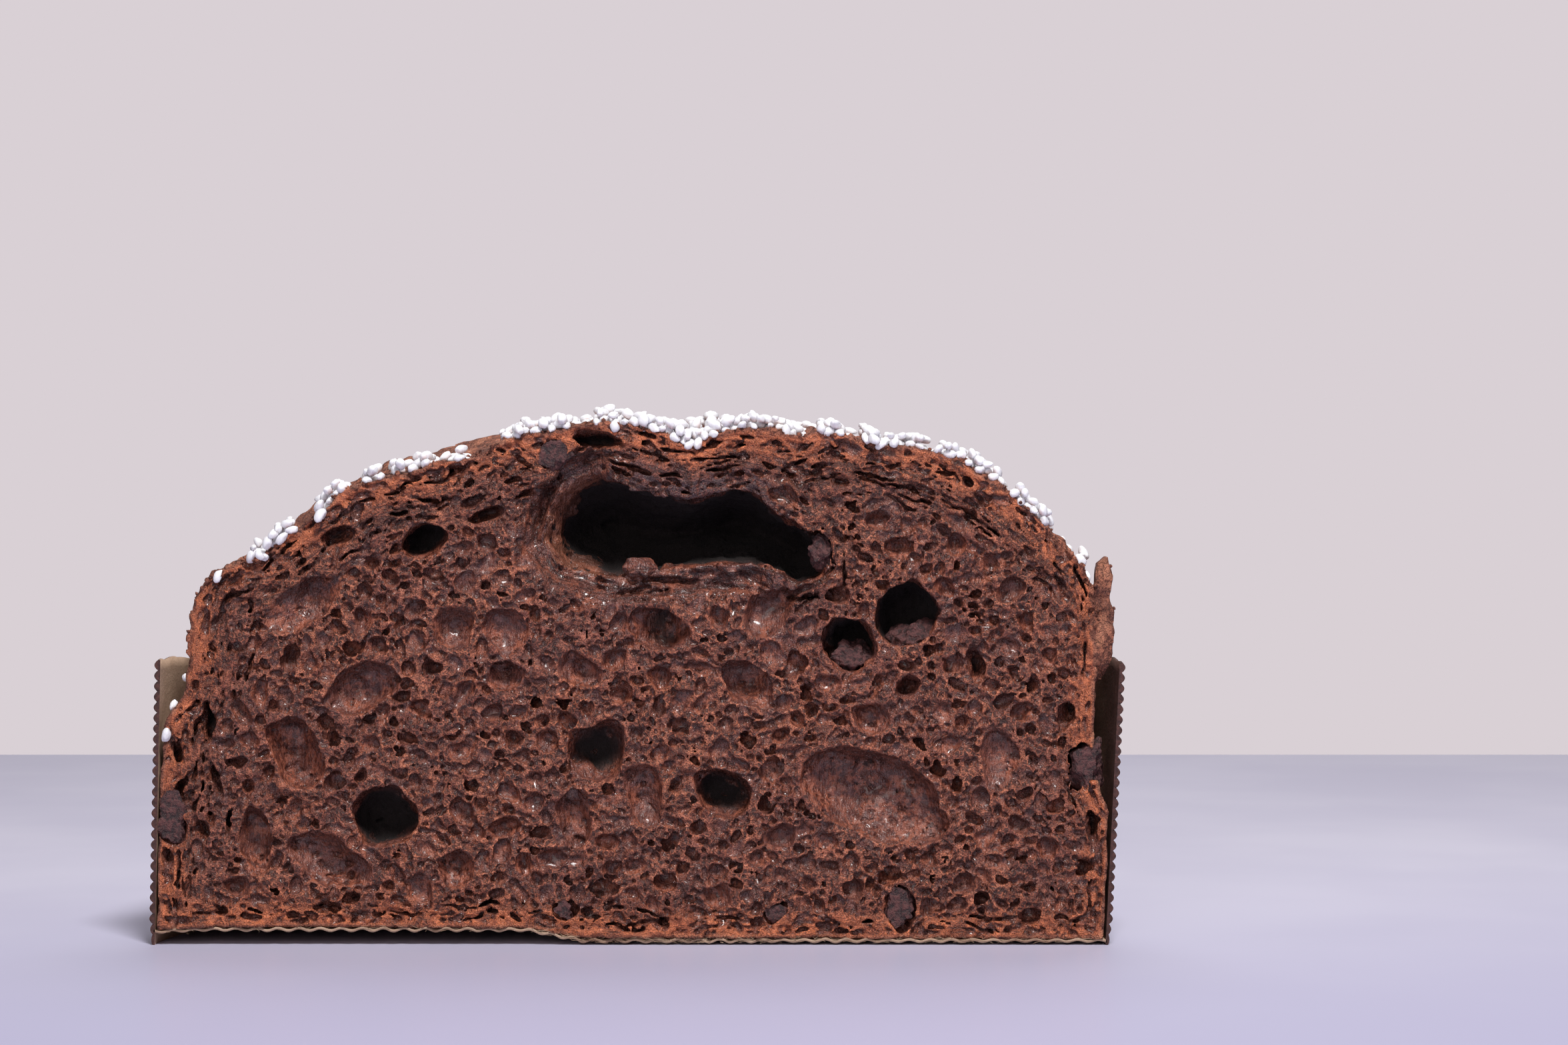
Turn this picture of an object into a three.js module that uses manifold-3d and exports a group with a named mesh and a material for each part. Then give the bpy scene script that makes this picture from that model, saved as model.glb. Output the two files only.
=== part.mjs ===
import * as THREE from 'three';
import { mergeVertices } from 'three/addons/utils/BufferGeometryUtils.js';
import Module from 'manifold-3d';

// Half of a dove-shaped Easter cake, cut across its wings and still in its fluted paper case.
// Millimetres, +Z up. While it is built, the cut face lies in the plane y = 0 and looks along -Y,
// and the rounded tail end is at +Y. The group at the end puts the middle of its underside at 0.

const wasm = await Module();
wasm.setup();

// ---- Driving dimensions ---------------------------------------------------------------------

const CASE_HEIGHT = 60; // paper wall, from its foot to its rim
const CASE_HALF_WIDTH = 100.5; // smooth inside of the wall, at the cut
const WING_RADIUS = 55; // plan of the case: wing, waist and tail are three touching arcs
const WAIST_RADIUS = 24;
const TAIL_RADIUS = 57;
const TAIL_CENTRE_Y = 93;
const WING_STEPS = 4;
const WAIST_STEPS = 3;
const TAIL_STEPS = 7;

const RIB_COUNT = 27; // flutes lie level round the wall
const RIB_VALLEY = 0.6; // out from the smooth inside of the wall
const RIB_CREST = 1.5;
const FOOT_RIBS = 2; // crushed ribs where the wall folds under
const RIM_THICKNESS = 0.8;
const RIM_WAVE = 0.5; // unevenness of the rim's height
const RIM_WAVE_SIZE = 9;
const BASE_THICKNESS = 1.6;
const BASE_REACH = 0.3; // the base ends inside the thickness of the wall
const GAP = 0.3; // between pieces that touch

const WALL_LEAN = 2.15; // the wall leans to +X by this much at its rim
const WALL_SPREAD = 0.75; // and the two sides spread by this much each
const LIFT_DEPTH = 60; // the base is lifted off the table near the cut, up to here
const BASE_LIFT = [[-102, 1.8], [-90, 2.4], [-22, 2.3], [-10, 0]]; // x, height
const BASE_COLUMNS = [-1, -0.88, -0.6, -0.22, -0.11, 1]; // shares of the half width

// Crust line of the cut face, from the left shoulder over the crown to the right shoulder: x, z.
const CREST = [
  [-92.7, 68], [-91.6, 73.8], [-89, 79], [-83.3, 83.2], [-75.8, 86.1], [-66.8, 93.1],
  [-55.2, 99.9], [-42.8, 102.7], [-30.4, 107.2], [-17.1, 110.1], [-7.2, 112.6], [-0.6, 112.2],
  [7.7, 110.1], [14.3, 107.7], [16.2, 110.1], [24.2, 111], [36.9, 108.6], [38.2, 111],
  [47.4, 109.6], [57.3, 107.7], [70.5, 102.7], [82.1, 96.4], [87.1, 91.9], [91.2, 87.8],
  [96.2, 81.2], [98.2, 76],
];
const CROWN_HEIGHT = 112; // behind the cut the dome is even, and falls towards the tail
const CROWN_FALL = 9;
const SHOULDER_HEIGHT = 70;
const DOME_POWER = 3;
const DOME_ROUND = 0.6;
const CUT_REACH = 38; // how far back the uneven crust line of the cut face reaches
const CRUST_BUMP = 1.1; // unevenness of the crust
const CRUST_BUMP_SIZE = 17;

// Sides of the cake below the crust line: height, and how far it stands in from the paper.
const SIDES = {
  left: { rows: [[14, 0.9], [30, 0.9], [47, 1.3], [51, 5.6], [60, 6.4]], crust: 6.3 },
  right: { rows: [[14, 0.9], [28, 1.0], [34, 3.4], [46, 4.9], [60, 5.2]], crust: 5.1 },
  back: { rows: [[14, 0.9], [30, 1.0], [45, 1.7], [52, 2.9], [60, 3.9]], crust: 4.0 },
};
const FOOT_INSET = 0.9;

// Hollows of the crumb that open in the cut face: x, z, half width, half height, depth, turn (deg).
const GREAT_HOLLOW = [
  [1.5, 86, 15.2, 10.2, 32, 6], [25.5, 87.2, 13.2, 8.8, 30, -12], [13, 82.6, 18, 7.2, 30, 0],
  [36.5, 79, 5.6, 5, 12, -35],
];
const DEEP_CELLS = [
  [-43.6, 85.2, 4.7, 3.7, 11, 25], [-51.6, 26.9, 7.9, 6.4, 13, -10], [58.2, 69.8, 6.9, 7.3, 14, 0],
  [46.4, 62.9, 5.6, 5.2, 13, 0], [5.6, 66.7, 6.3, 4.9, 8, 10], [20.3, 32.3, 6.2, 5.5, 9, 0],
  [-6, 40.6, 6.8, 6.6, 9, 20], [73.1, 59.1, 1.9, 3.4, 6, 0], [58.6, 55.3, 2.7, 2.5, 5, 0],
  [-6.8, 107, 5.6, 1.5, 7, -8], [-61.3, 85.9, 3.5, 1.8, 6, 30], [-30.2, 90.9, 4.2, 1.6, 6, 12],
  [43.7, 73.8, 2.8, 1.9, 5, 0],
];
const SHALLOW_CELLS = [
  [52.7, 30.4, 16, 8.8, 7, -26], [-68.9, 71.7, 9.5, 5.2, 5, 38], [-57.8, 54.6, 7.8, 5.2, 6, 22],
  [-70.3, 39.9, 5.8, 8.6, 6, 12], [-79.3, 22.8, 3.6, 8.2, 5, 8], [-63.4, 17.9, 9.2, 4.8, 5, -28],
  [28.4, 70.5, 5.4, 5.8, 6, 0], [-37.8, 68.4, 5.2, 4.6, 4, 30], [-26.7, 67.6, 4.6, 4.6, 4, 0],
  [-10.8, 57.9, 5.3, 3.9, 4.5, -15], [24.3, 55.1, 6.1, 4.7, 5, 0], [51.3, 47.5, 4.2, 3.4, 4, 0],
  [77.5, 39.9, 3.8, 6.8, 4, 0], [57.1, 83.8, 2.8, 2.4, 3, -20], [79.6, 75.2, 2.5, 3.4, 3, -30],
  [-12.2, 27.6, 3.6, 6.6, 4, 10], [3.5, 30.6, 4.2, 7, 5, 0], [31.9, 22.8, 3.5, 3.4, 3, 0],
  [-36.4, 15.9, 4.2, 4, 3, 0], [-26, 56.5, 4.2, 3.5, 4, 0], [88.6, 20.7, 2.5, 2.6, 3, 0],
];
const SIDE_SLITS = [
  [-89.4, 47.8, 1.1, 4.2, 6, 0], [-95.2, 40.7, 1.1, 2.8, 5, 0], [-87.9, 35.2, 1.1, 3.8, 5, 8],
  [-90.6, 24.5, 1.1, 3.2, 5, 12], [92.2, 48.9, 1.6, 3.6, 6, -18], [85.5, 55, 1.5, 2, 4, 0],
];
const SMALL_CELLS = {
  count: 24, least: 1.3, most: 2.5, apart: 1.2, flattest: 0.7, depth: 1.3, seed: 61,
  across: [-84, 86], up: [8, 96], belowCrust: 9,
};
const GREAT_WOBBLE = 0.1; // unevenness of a hollow, as a share of its size
const CELL_WOBBLE = 0.16;
const WOBBLE_SIZE = 0.6; // size of a bump, as a share of the ball's radius
const WIDE_CELL = 7; // a hollow of more than this half width has finer faces
const SEED_STEP = 3;

// Pieces of chocolate in the crumb: x, y, z and half sizes along them. The knife went through
// those that reach it.
const CHUNKS = [
  [97.0, 3.6, 38, 4.1, 4.4, 5.4], [60.6, 6.4, 64.6, 5.0, 3.6, 3.6], [46.6, 6.2, 60.4, 4.6, 3.6, 3.2],
  [41.2, 4.6, 83.2, 3.6, 3.6, 4.2], [-16.2, 1, 103.4, 2.9, 3.4, 2.9],
  [56.8, 1, 7.8, 2.6, 3.2, 3.7], [-13.9, 1, 7.0, 2.1, 2.6, 1.9], [30.5, 1, 6.4, 1.9, 2.4, 1.6],
  [-96.8, 1, 26.2, 2.9, 3.4, 5.6],
];
const CHUNK_WOBBLE = 0.2;
const CHUNK_SEED = 300;
const WIDE_CHUNK = 3; // a chunk of more than this half width has finer faces
const POCKET_ROOM = 0.4; // free space round a chunk, in the crumb
const KNIFE_FRONT = 0.2; // cut chocolate lies this far behind the cut crumb

// A torn sliver of crust stands up beside the right shoulder: x, z of its outline.
const SLIVER = [
  [95.5, 55], [99.6, 56], [101.8, 61], [102.1, 68], [101.3, 73.5], [102, 78], [101, 82.2],
  [99.6, 81], [99.4, 73], [98.9, 66], [97.2, 60],
];
const SLIVER_FRONT = 1.2;
const SLIVER_DEPTH = 7;

// Sugar pearls on the crust, the largest first.
const PEARLS = { count: 58, largest: 2.15, smallest: 1.6, apart: 0.25, tries: 20000, seed: 17 };
const PEARL_SHAPE = [1.15, 0.95, 0.9]; // longer one way, as sugar grains are
const PEARL_SUNK = 0.3; // share of its radius that a pearl sits in the crust
const PEARL_FROM_CUT = 1.3; // radii from the cut face to the nearest pearls
const PEARLS_ABOVE_SHOULDER = 3;
const EDGE_PEARLS = [ // runs of pearls along the cut: first x, last x, how many
  [-72, -67, 2], [-52, -32, 6], [-25, -14, 4], [-5, 12, 5], [18, 36, 6], [44, 56, 4], [63, 76, 5],
  [81, 87, 2], [94, 95, 1],
];
const EDGE_PEARL = { least: 1.53, most: 1.98, raised: 0.45, scatter: 2.5 };
const FALLEN_PEARLS = [ // pearls that slipped down the left side: x, y, z, radius
  [-93.8, 3, 55.2, 1.7], [-96.2, 2.6, 49.6, 1.5], [-86.4, 1.7, 74.4, 1.3],
];

// ---- Tools for solids -----------------------------------------------------------------------

const lerp = THREE.MathUtils.lerp;

/** A closed geometry as a solid, with its shared vertices merged and its faces pointing out. */
function solidOf(geometry) {
  const bare = new THREE.BufferGeometry();
  bare.setAttribute('position', geometry.attributes.position);
  bare.setIndex(geometry.index);
  const merged = mergeVertices(bare, 1e-3);
  const points = merged.attributes.position.array;
  const corners = [];
  let volume = 0;
  for (let i = 0; i < merged.index.count; i += 3) {
    const [a, b, c] = [0, 1, 2].map((k) => merged.index.getX(i + k));
    if (a === b || b === c || c === a) continue;
    corners.push(a, b, c);
    const [p, q, r] = [a, b, c].map((n) => new THREE.Vector3().fromArray(points, 3 * n));
    volume += p.dot(q.cross(r));
  }
  if (volume < 0) corners.reverse();
  return new wasm.Manifold(new wasm.Mesh({
    numProp: 3, vertProperties: Float32Array.from(points), triVerts: Uint32Array.from(corners),
  }));
}

/** A solid as a geometry that a mesh can show. */
function geometryOf(solid) {
  const mesh = solid.getMesh();
  const geometry = new THREE.BufferGeometry();
  geometry.setAttribute('position', new THREE.BufferAttribute(mesh.vertProperties, 3));
  geometry.setIndex(new THREE.BufferAttribute(mesh.triVerts, 1));
  geometry.computeVertexNormals();
  return geometry;
}

function areaInFront(points) {
  return THREE.ShapeUtils.area(points.map((p) => new THREE.Vector2(p.x, p.z)));
}

/** Triangles that close a ring, turned the other way where opposite is true. */
function capTriangles(ring, opposite) {
  const flat = ring.map((p) => new THREE.Vector2(p.x, p.z));
  const triangles = THREE.ShapeUtils.triangulateShape(flat, []);
  const covered = triangles.reduce((sum, t) => sum + areaInFront(t.map((k) => ring[k])), 0);
  const turned = (covered * areaInFront(ring) < 0) !== opposite;
  return turned ? triangles.map((t) => [...t].reverse()) : triangles;
}

/** Skin through closed rings of equally many points. A last ring that is shut needs no cap. */
function loft(rings, lastIsShut) {
  const size = rings[0].length;
  const index = [];
  for (let j = 0; j + 1 < rings.length; j += 1) {
    for (let k = 0; k < size; k += 1) {
      const next = (k + 1) % size;
      const [a, b] = [j * size + k, j * size + next];
      index.push(a, b, a + size, b, b + size, a + size);
    }
  }
  index.push(...capTriangles(rings[0], true).flat());
  if (!lastIsShut) {
    const start = (rings.length - 1) * size;
    index.push(...capTriangles(rings[rings.length - 1], false).flat().map((k) => start + k));
  }
  const geometry = new THREE.BufferGeometry().setFromPoints(rings.flat());
  geometry.setIndex(index);
  return geometry;
}

/** Numbers from 0 to 1 that are the same on each run. */
function randomFrom(seed) {
  let state = seed;
  return () => {
    state = (Math.imul(state, 1664525) + 1013904223) >>> 0;
    return state / 4294967296;
  };
}

/** A fixed number from -1 to 1 for each whole place, well mixed. */
function latticeValue(i, j, k) {
  let h = Math.imul(i, 374761393) ^ Math.imul(j, 668265263) ^ Math.imul(k, 1274126177);
  h = Math.imul(h ^ (h >>> 13), 1103515245);
  return ((h ^ (h >>> 16)) >>> 0) / 2147483648 - 1;
}

/** Smooth noise from -1 to 1. */
function noise(x, y, z) {
  const [i, j, k] = [x, y, z].map(Math.floor);
  const [u, v, w] = [x - i, y - j, z - k].map((t) => t * t * (3 - 2 * t));
  const along = (b, c) => lerp(latticeValue(i, b, c), latticeValue(i + 1, b, c), u);
  const across = (c) => lerp(along(j, c), along(j + 1, c), v);
  return lerp(across(k), across(k + 1), w);
}

/** A closed uneven ball, turned in the plane of the cut face. */
function unevenBall(centre, half, turn, detail, wobble, seed) {
  const ball = new THREE.IcosahedronGeometry(1, detail);
  const points = ball.attributes.position;
  const p = new THREE.Vector3();
  for (let i = 0; i < points.count; i += 1) {
    p.fromBufferAttribute(points, i);
    const [x, y, z] = p.toArray().map((t) => Math.round(t * 1e4) / 1e4 / WOBBLE_SIZE);
    p.multiplyScalar(1 + wobble * noise(x + seed, y, z));
    points.setXYZ(i, p.x, p.y, p.z);
  }
  ball.scale(...half);
  ball.rotateY(THREE.MathUtils.degToRad(-turn));
  ball.translate(...centre);
  return solidOf(ball);
}

/** Height of a line of x, z points above x. */
function heightAt(line, x) {
  if (x <= line[0][0]) return line[0][1];
  for (let k = 1; k < line.length; k += 1) {
    const [[x0, z0], [x1, z1]] = [line[k - 1], line[k]];
    if (x <= x1) return lerp(z0, z1, (x - x0) / (x1 - x0));
  }
  return line[line.length - 1][1];
}

// ---- Plan of the case -----------------------------------------------------------------------

const wing = new THREE.Vector2(CASE_HALF_WIDTH - WING_RADIUS, 0);
const tail = new THREE.Vector2(0, TAIL_CENTRE_Y);
const waist = waistCentre();

/** The waist arc touches the wing arc and the tail arc from outside. */
function waistCentre() {
  const reachWing = WING_RADIUS + WAIST_RADIUS;
  const reachTail = TAIL_RADIUS + WAIST_RADIUS;
  const along = tail.clone().sub(wing);
  const apart = along.length();
  along.normalize();
  const share = (reachWing ** 2 - reachTail ** 2 + apart ** 2) / (2 * apart);
  const out = Math.sqrt(reachWing ** 2 - share ** 2);
  return new THREE.Vector2(
    wing.x + along.x * share + along.y * out,
    wing.y + along.y * share - along.x * out,
  );
}

/** Places along one side, from the cut to the tip of the tail. */
function planStations() {
  const wingEnd = waist.clone().sub(wing).angle();
  const tailStart = Math.atan2(waist.y - tail.y, waist.x - tail.x);
  const stations = [];
  for (let i = 0; i <= WING_STEPS; i += 1) {
    stations.push({ centre: wing, radius: WING_RADIUS, grow: -1, angle: (wingEnd * i) / WING_STEPS });
  }
  for (let i = 1; i <= WAIST_STEPS; i += 1) {
    const angle = Math.PI + lerp(wingEnd, tailStart, i / WAIST_STEPS);
    stations.push({ centre: waist, radius: WAIST_RADIUS, grow: 1, angle });
  }
  for (let i = 1; i <= TAIL_STEPS; i += 1) {
    const angle = lerp(tailStart, Math.PI / 2, i / TAIL_STEPS);
    stations.push({ centre: tail, radius: TAIL_RADIUS, grow: -1, angle });
  }
  return stations;
}

const STATIONS = planStations();

/** Point of the plan on one side (-1 left, 1 right), this far in from the inside of the wall. */
function planPoint(station, side, inset) {
  const radius = station.radius + station.grow * inset;
  const x = station.centre.x + radius * Math.cos(station.angle);
  const y = station.centre.y + radius * Math.sin(station.angle);
  const isTip = station === STATIONS[STATIONS.length - 1];
  return new THREE.Vector2(isTip ? 0 : side * x, y);
}

function leanAt(x, z) {
  return (Math.min(z, CASE_HEIGHT) / CASE_HEIGHT) * (WALL_LEAN + (WALL_SPREAD * x) / CASE_HALF_WIDTH);
}

function liftAt(x, y) {
  return heightAt(BASE_LIFT, x) * (1 - THREE.MathUtils.smoothstep(y, 0, LIFT_DEPTH));
}

/** A point of the leaning case or of what it holds. */
function leaning(x, y, z) {
  return new THREE.Vector3(x + leanAt(x, z), y, z);
}

// ---- Paper case -----------------------------------------------------------------------------

/** Section of the fluted wall: how far out, and how high as a share of the wall. */
function wallSection() {
  const section = [[0, 0], [0, 1], [RIM_THICKNESS, 1]];
  for (let rib = RIB_COUNT; rib > 0; rib -= 1) {
    const crushed = rib <= FOOT_RIBS ? rib / (FOOT_RIBS + 1) : 1;
    section.push([lerp(RIB_VALLEY, RIB_CREST, crushed), (rib - 0.5) / RIB_COUNT]);
    if (rib > 1) section.push([RIB_VALLEY, (rib - 1) / RIB_COUNT]);
  }
  section.push([RIB_VALLEY, 0]);
  return section;
}

function wallRing(station, side) {
  const inner = planPoint(station, side, 0);
  const foot = liftAt(inner.x, inner.y);
  const wave = noise(inner.x / RIM_WAVE_SIZE, inner.y / RIM_WAVE_SIZE, 0.5);
  const height = CASE_HEIGHT + RIM_WAVE * wave;
  return wallSection().map(([out, share]) => {
    const p = planPoint(station, side, -out);
    return leaning(p.x, p.y, foot + share * height);
  });
}

function caseWall() {
  const right = STATIONS.map((station) => wallRing(station, 1));
  const left = STATIONS.slice(0, -1).map((station) => wallRing(station, -1)).reverse();
  return solidOf(loft([...right, ...left], false));
}

function caseBase() {
  const rings = STATIONS.map((station) => {
    const row = (height) => BASE_COLUMNS.map((share) => {
      const p = planPoint(station, Math.sign(share), -BASE_REACH);
      const x = p.x * Math.abs(share);
      return leaning(x, p.y, liftAt(x, p.y) + height);
    });
    return [...row(0), ...row(BASE_THICKNESS).reverse()];
  });
  return solidOf(loft(rings, true));
}

// ---- Cake -----------------------------------------------------------------------------------

/** 1 at the cut, 0 where the cake behind it is even. */
function cutShare(y) {
  return 1 - THREE.MathUtils.smoothstep(y, 0, CUT_REACH);
}

function crustInset(side, y) {
  const front = side < 0 ? SIDES.left.crust : SIDES.right.crust;
  return lerp(SIDES.back.crust, front, cutShare(y));
}

/** Height of the even dome above a place in the plan. */
function domeHeight(x, y, halfWidth) {
  const beyond = Math.max(0, y - TAIL_CENTRE_Y);
  const out = Math.min(1, Math.hypot(x, beyond) / halfWidth);
  const crown = CROWN_HEIGHT - CROWN_FALL * Math.min(1, y / TAIL_CENTRE_Y) ** 2;
  return SHOULDER_HEIGHT + (crown - SHOULDER_HEIGHT) * (1 - out ** DOME_POWER) ** DOME_ROUND;
}

/** One line of the crust across the cake, from its right shoulder to its left one. */
function crustLine(station) {
  return CREST.map(([crestX, crestZ]) => {
    const side = Math.sign(crestX);
    const atCut = planPoint(STATIONS[0], side, crustInset(side, 0)).x;
    const share = (crestX - leanAt(crestX, CASE_HEIGHT)) / atCut;
    const edge = planPoint(station, side, crustInset(side, station.y));
    const x = edge.x * share;
    const widest = edge.y > TAIL_CENTRE_Y ? TAIL_RADIUS - crustInset(side, edge.y) : edge.x;
    const near = cutShare(edge.y);
    const bump = CRUST_BUMP * noise(x / CRUST_BUMP_SIZE, edge.y / CRUST_BUMP_SIZE, 3.5);
    const even = domeHeight(x, edge.y, Math.abs(widest)) + bump;
    return leaning(x, edge.y, lerp(even, crestZ, near));
  }).reverse();
}

function sideLine(station, side) {
  const front = side < 0 ? SIDES.left.rows : SIDES.right.rows;
  return SIDES.back.rows.map(([backZ, backInset], row) => {
    const near = cutShare(station.y);
    const p = planPoint(station, side, lerp(backInset, front[row][1], near));
    return leaning(p.x, p.y, lerp(backZ, front[row][0], near));
  });
}

function footLine(station) {
  return BASE_COLUMNS.map((share) => {
    const p = planPoint(station, Math.sign(share), FOOT_INSET);
    const x = p.x * Math.abs(share);
    return leaning(x, p.y, liftAt(x, p.y) + BASE_THICKNESS + GAP);
  });
}

for (const station of STATIONS) station.y = planPoint(station, 1, 0).y;
const CRUST = STATIONS.map(crustLine);

function cakeBody() {
  const rings = STATIONS.map((station, j) => [
    ...footLine(station), ...sideLine(station, 1), ...CRUST[j], ...sideLine(station, -1).reverse(),
  ]);
  return solidOf(loft(rings, true));
}

/** Hollows of one kind, each an uneven ball with its middle in the cut face. */
function cells(rows, wobble, firstSeed) {
  return rows.map(([x, z, halfX, halfZ, depth, turn], n) => {
    const detail = halfX > WIDE_CELL ? 2 : 1;
    const seed = firstSeed + SEED_STEP * n;
    return unevenBall([x, 0, z], [halfX, depth, halfZ], turn, detail, wobble, seed);
  });
}

/** Small hollows of the crumb, spread by seeded draws over what the named ones leave free. */
function smallCells(named) {
  const { count, least, most, apart, flattest, depth, seed, across, up, belowCrust } = SMALL_CELLS;
  const random = randomFrom(seed);
  const placed = [];
  const clearOf = (x, z, r) => [...named, ...placed].every((other) => {
    const reach = Math.max(other[2], other[3]) + r + apart;
    return Math.hypot(x - other[0], z - other[1]) > reach;
  });
  while (placed.length < count) {
    const r = lerp(least, most, random() ** 2);
    const [x, z] = [lerp(...across, random()), lerp(...up, random())];
    if (z < heightAt(CREST, x) - belowCrust && clearOf(x, z, r)) {
      placed.push([x, z, r, r * lerp(flattest, 1, random()), depth * r, 90 * random()]);
    }
  }
  return placed.map(([x, z, halfX, halfZ, deep, turn]) => {
    return unevenBall([x, 0, z], [halfX, deep, halfZ], turn, 0, 0, 0);
  });
}

function hollows() {
  return [
    ...cells(GREAT_HOLLOW, GREAT_WOBBLE, 0),
    ...cells(DEEP_CELLS, CELL_WOBBLE, 40),
    ...cells(SHALLOW_CELLS, CELL_WOBBLE, 90),
    ...cells(SIDE_SLITS, CELL_WOBBLE, 160),
    ...smallCells([...GREAT_HOLLOW, ...DEEP_CELLS, ...SHALLOW_CELLS, ...SIDE_SLITS]),
  ];
}

/** A piece of chocolate, or with room round it the pocket that it lies in. */
function chunk([x, y, z, ...halfSizes], n, room) {
  const half = halfSizes.map((size) => size + room);
  const detail = halfSizes[0] > WIDE_CHUNK ? 1 : 0;
  return unevenBall([x, y, z], half, 0, detail, CHUNK_WOBBLE, CHUNK_SEED + SEED_STEP * n);
}

/** What the knife took away in front of the cut. */
function knife() {
  const block = new THREE.BoxGeometry(3 * CASE_HALF_WIDTH, CASE_HALF_WIDTH, 3 * CASE_HALF_WIDTH);
  block.translate(0, KNIFE_FRONT - CASE_HALF_WIDTH / 2, 0);
  return solidOf(block);
}

function sliver() {
  const outline = new THREE.Shape(SLIVER.map(([x, z]) => new THREE.Vector2(x, z)));
  const slab = new THREE.ExtrudeGeometry(outline, { depth: SLIVER_DEPTH, bevelEnabled: false });
  slab.rotateX(Math.PI / 2);
  slab.translate(0, SLIVER_FRONT + SLIVER_DEPTH, 0);
  return solidOf(slab);
}

// ---- Sugar pearls ---------------------------------------------------------------------------

/** A pearl of 20 faces. */
function pearl(at, radius, turn) {
  const grain = new THREE.IcosahedronGeometry(radius, 0);
  grain.scale(...PEARL_SHAPE);
  grain.rotateZ(turn);
  grain.translate(at.x, at.y, at.z);
  return solidOf(grain);
}

/** Place and outward normal on the crust, from a seeded draw that is even over its area. */
function crustSpots(random) {
  const cells = [];
  let area = 0;
  for (let j = 0; j + 1 < CRUST.length; j += 1) {
    for (let k = 0; k + 1 < CREST.length; k += 1) {
      const [a, b, c] = [CRUST[j][k], CRUST[j][k + 1], CRUST[j + 1][k]];
      const normal = c.clone().sub(a).cross(b.clone().sub(a));
      area += normal.length();
      cells.push({ j, k, area, normal: normal.normalize() });
    }
  }
  return () => {
    const drawn = random() * area;
    const { j, k, normal } = cells.find((each) => each.area >= drawn);
    const [u, v] = [random(), random()];
    const at = CRUST[j][k].clone().lerp(CRUST[j][k + 1], u);
    at.lerp(CRUST[j + 1][k].clone().lerp(CRUST[j + 1][k + 1], u), v);
    return { at, normal: normal.clone().multiplyScalar(Math.sign(normal.z) || 1) };
  };
}

/** Pearls in a row on the crust line of the cut. */
function edgePearls(random) {
  return EDGE_PEARLS.flatMap(([first, last, count]) => Array.from({ length: count }, (_, i) => {
    const x = lerp(first, last, i / Math.max(1, count - 1));
    const r = lerp(EDGE_PEARL.least, EDGE_PEARL.most, random());
    const y = PEARL_FROM_CUT * r + EDGE_PEARL.scatter * random();
    return { at: new THREE.Vector3(x, y, heightAt(CREST, x) + EDGE_PEARL.raised * r), r };
  }));
}

function pearls() {
  const random = randomFrom(PEARLS.seed);
  const placed = edgePearls(random);
  const draw = crustSpots(random);
  const [edgeCount, lowest] = [placed.length, SHOULDER_HEIGHT + PEARLS_ABOVE_SHOULDER];
  for (let tries = 0; placed.length < edgeCount + PEARLS.count && tries < PEARLS.tries; tries += 1) {
    const grown = (placed.length - edgeCount) / PEARLS.count;
    const r = lerp(PEARLS.largest, PEARLS.smallest, grown);
    const { at, normal } = draw();
    at.addScaledVector(normal, r * (1 - 2 * PEARL_SUNK));
    const clear = placed.every((other) => {
      return other.at.distanceTo(at) > PEARL_SHAPE[0] * (other.r + r) + PEARLS.apart;
    });
    if (clear && at.y > PEARL_FROM_CUT * r && at.z > lowest) placed.push({ at, r });
  }
  for (const [x, y, z, r] of FALLEN_PEARLS) placed.push({ at: new THREE.Vector3(x, y, z), r });
  return placed.map(({ at, r }) => pearl(at, r, Math.PI * random()));
}

// ---- Nodes ----------------------------------------------------------------------------------

const PAPER = new THREE.MeshStandardMaterial({ color: 0x4a2b26, roughness: 0.7, metalness: 0 });
const CRUMB = new THREE.MeshStandardMaterial({ color: 0x6f4237, roughness: 0.85, metalness: 0 });
const CHOCOLATE = new THREE.MeshStandardMaterial({ color: 0x45292d, roughness: 0.5, metalness: 0 });

function node(name, solid, material) {
  const mesh = new THREE.Mesh(geometryOf(solid), material);
  mesh.name = name;
  return mesh;
}

function cake() {
  let solid = wasm.Manifold.union([cakeBody(), sliver(), ...pearls()]);
  const pockets = CHUNKS.map((piece, n) => chunk(piece, n, POCKET_ROOM));
  solid = solid.subtract(wasm.Manifold.union([...hollows(), ...pockets]));
  return node('cake', solid, CRUMB);
}

const half = new THREE.Group();
half.add(node('paper_case', caseWall().add(caseBase()), PAPER));
half.add(cake());
CHUNKS.forEach((piece, n) => {
  half.add(node(`chocolate_chunk_${n + 1}`, chunk(piece, n, 0).subtract(knife()), CHOCOLATE));
});

const bounds = new THREE.Box3().setFromObject(half);
const middle = bounds.getCenter(new THREE.Vector3());
half.position.set(-middle.x, -middle.y, -bounds.min.z);

export default half;
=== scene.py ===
"""Looks of half a chocolate colomba cake, cut across its wings, in its fluted paper case.

Lengths are millimetres until a mesh is made: x along the cut from its middle, y from the cut
face back to the rounded tail, z up from the table. Layers of noise are lists of height, size
and seed.
"""
import math

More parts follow.
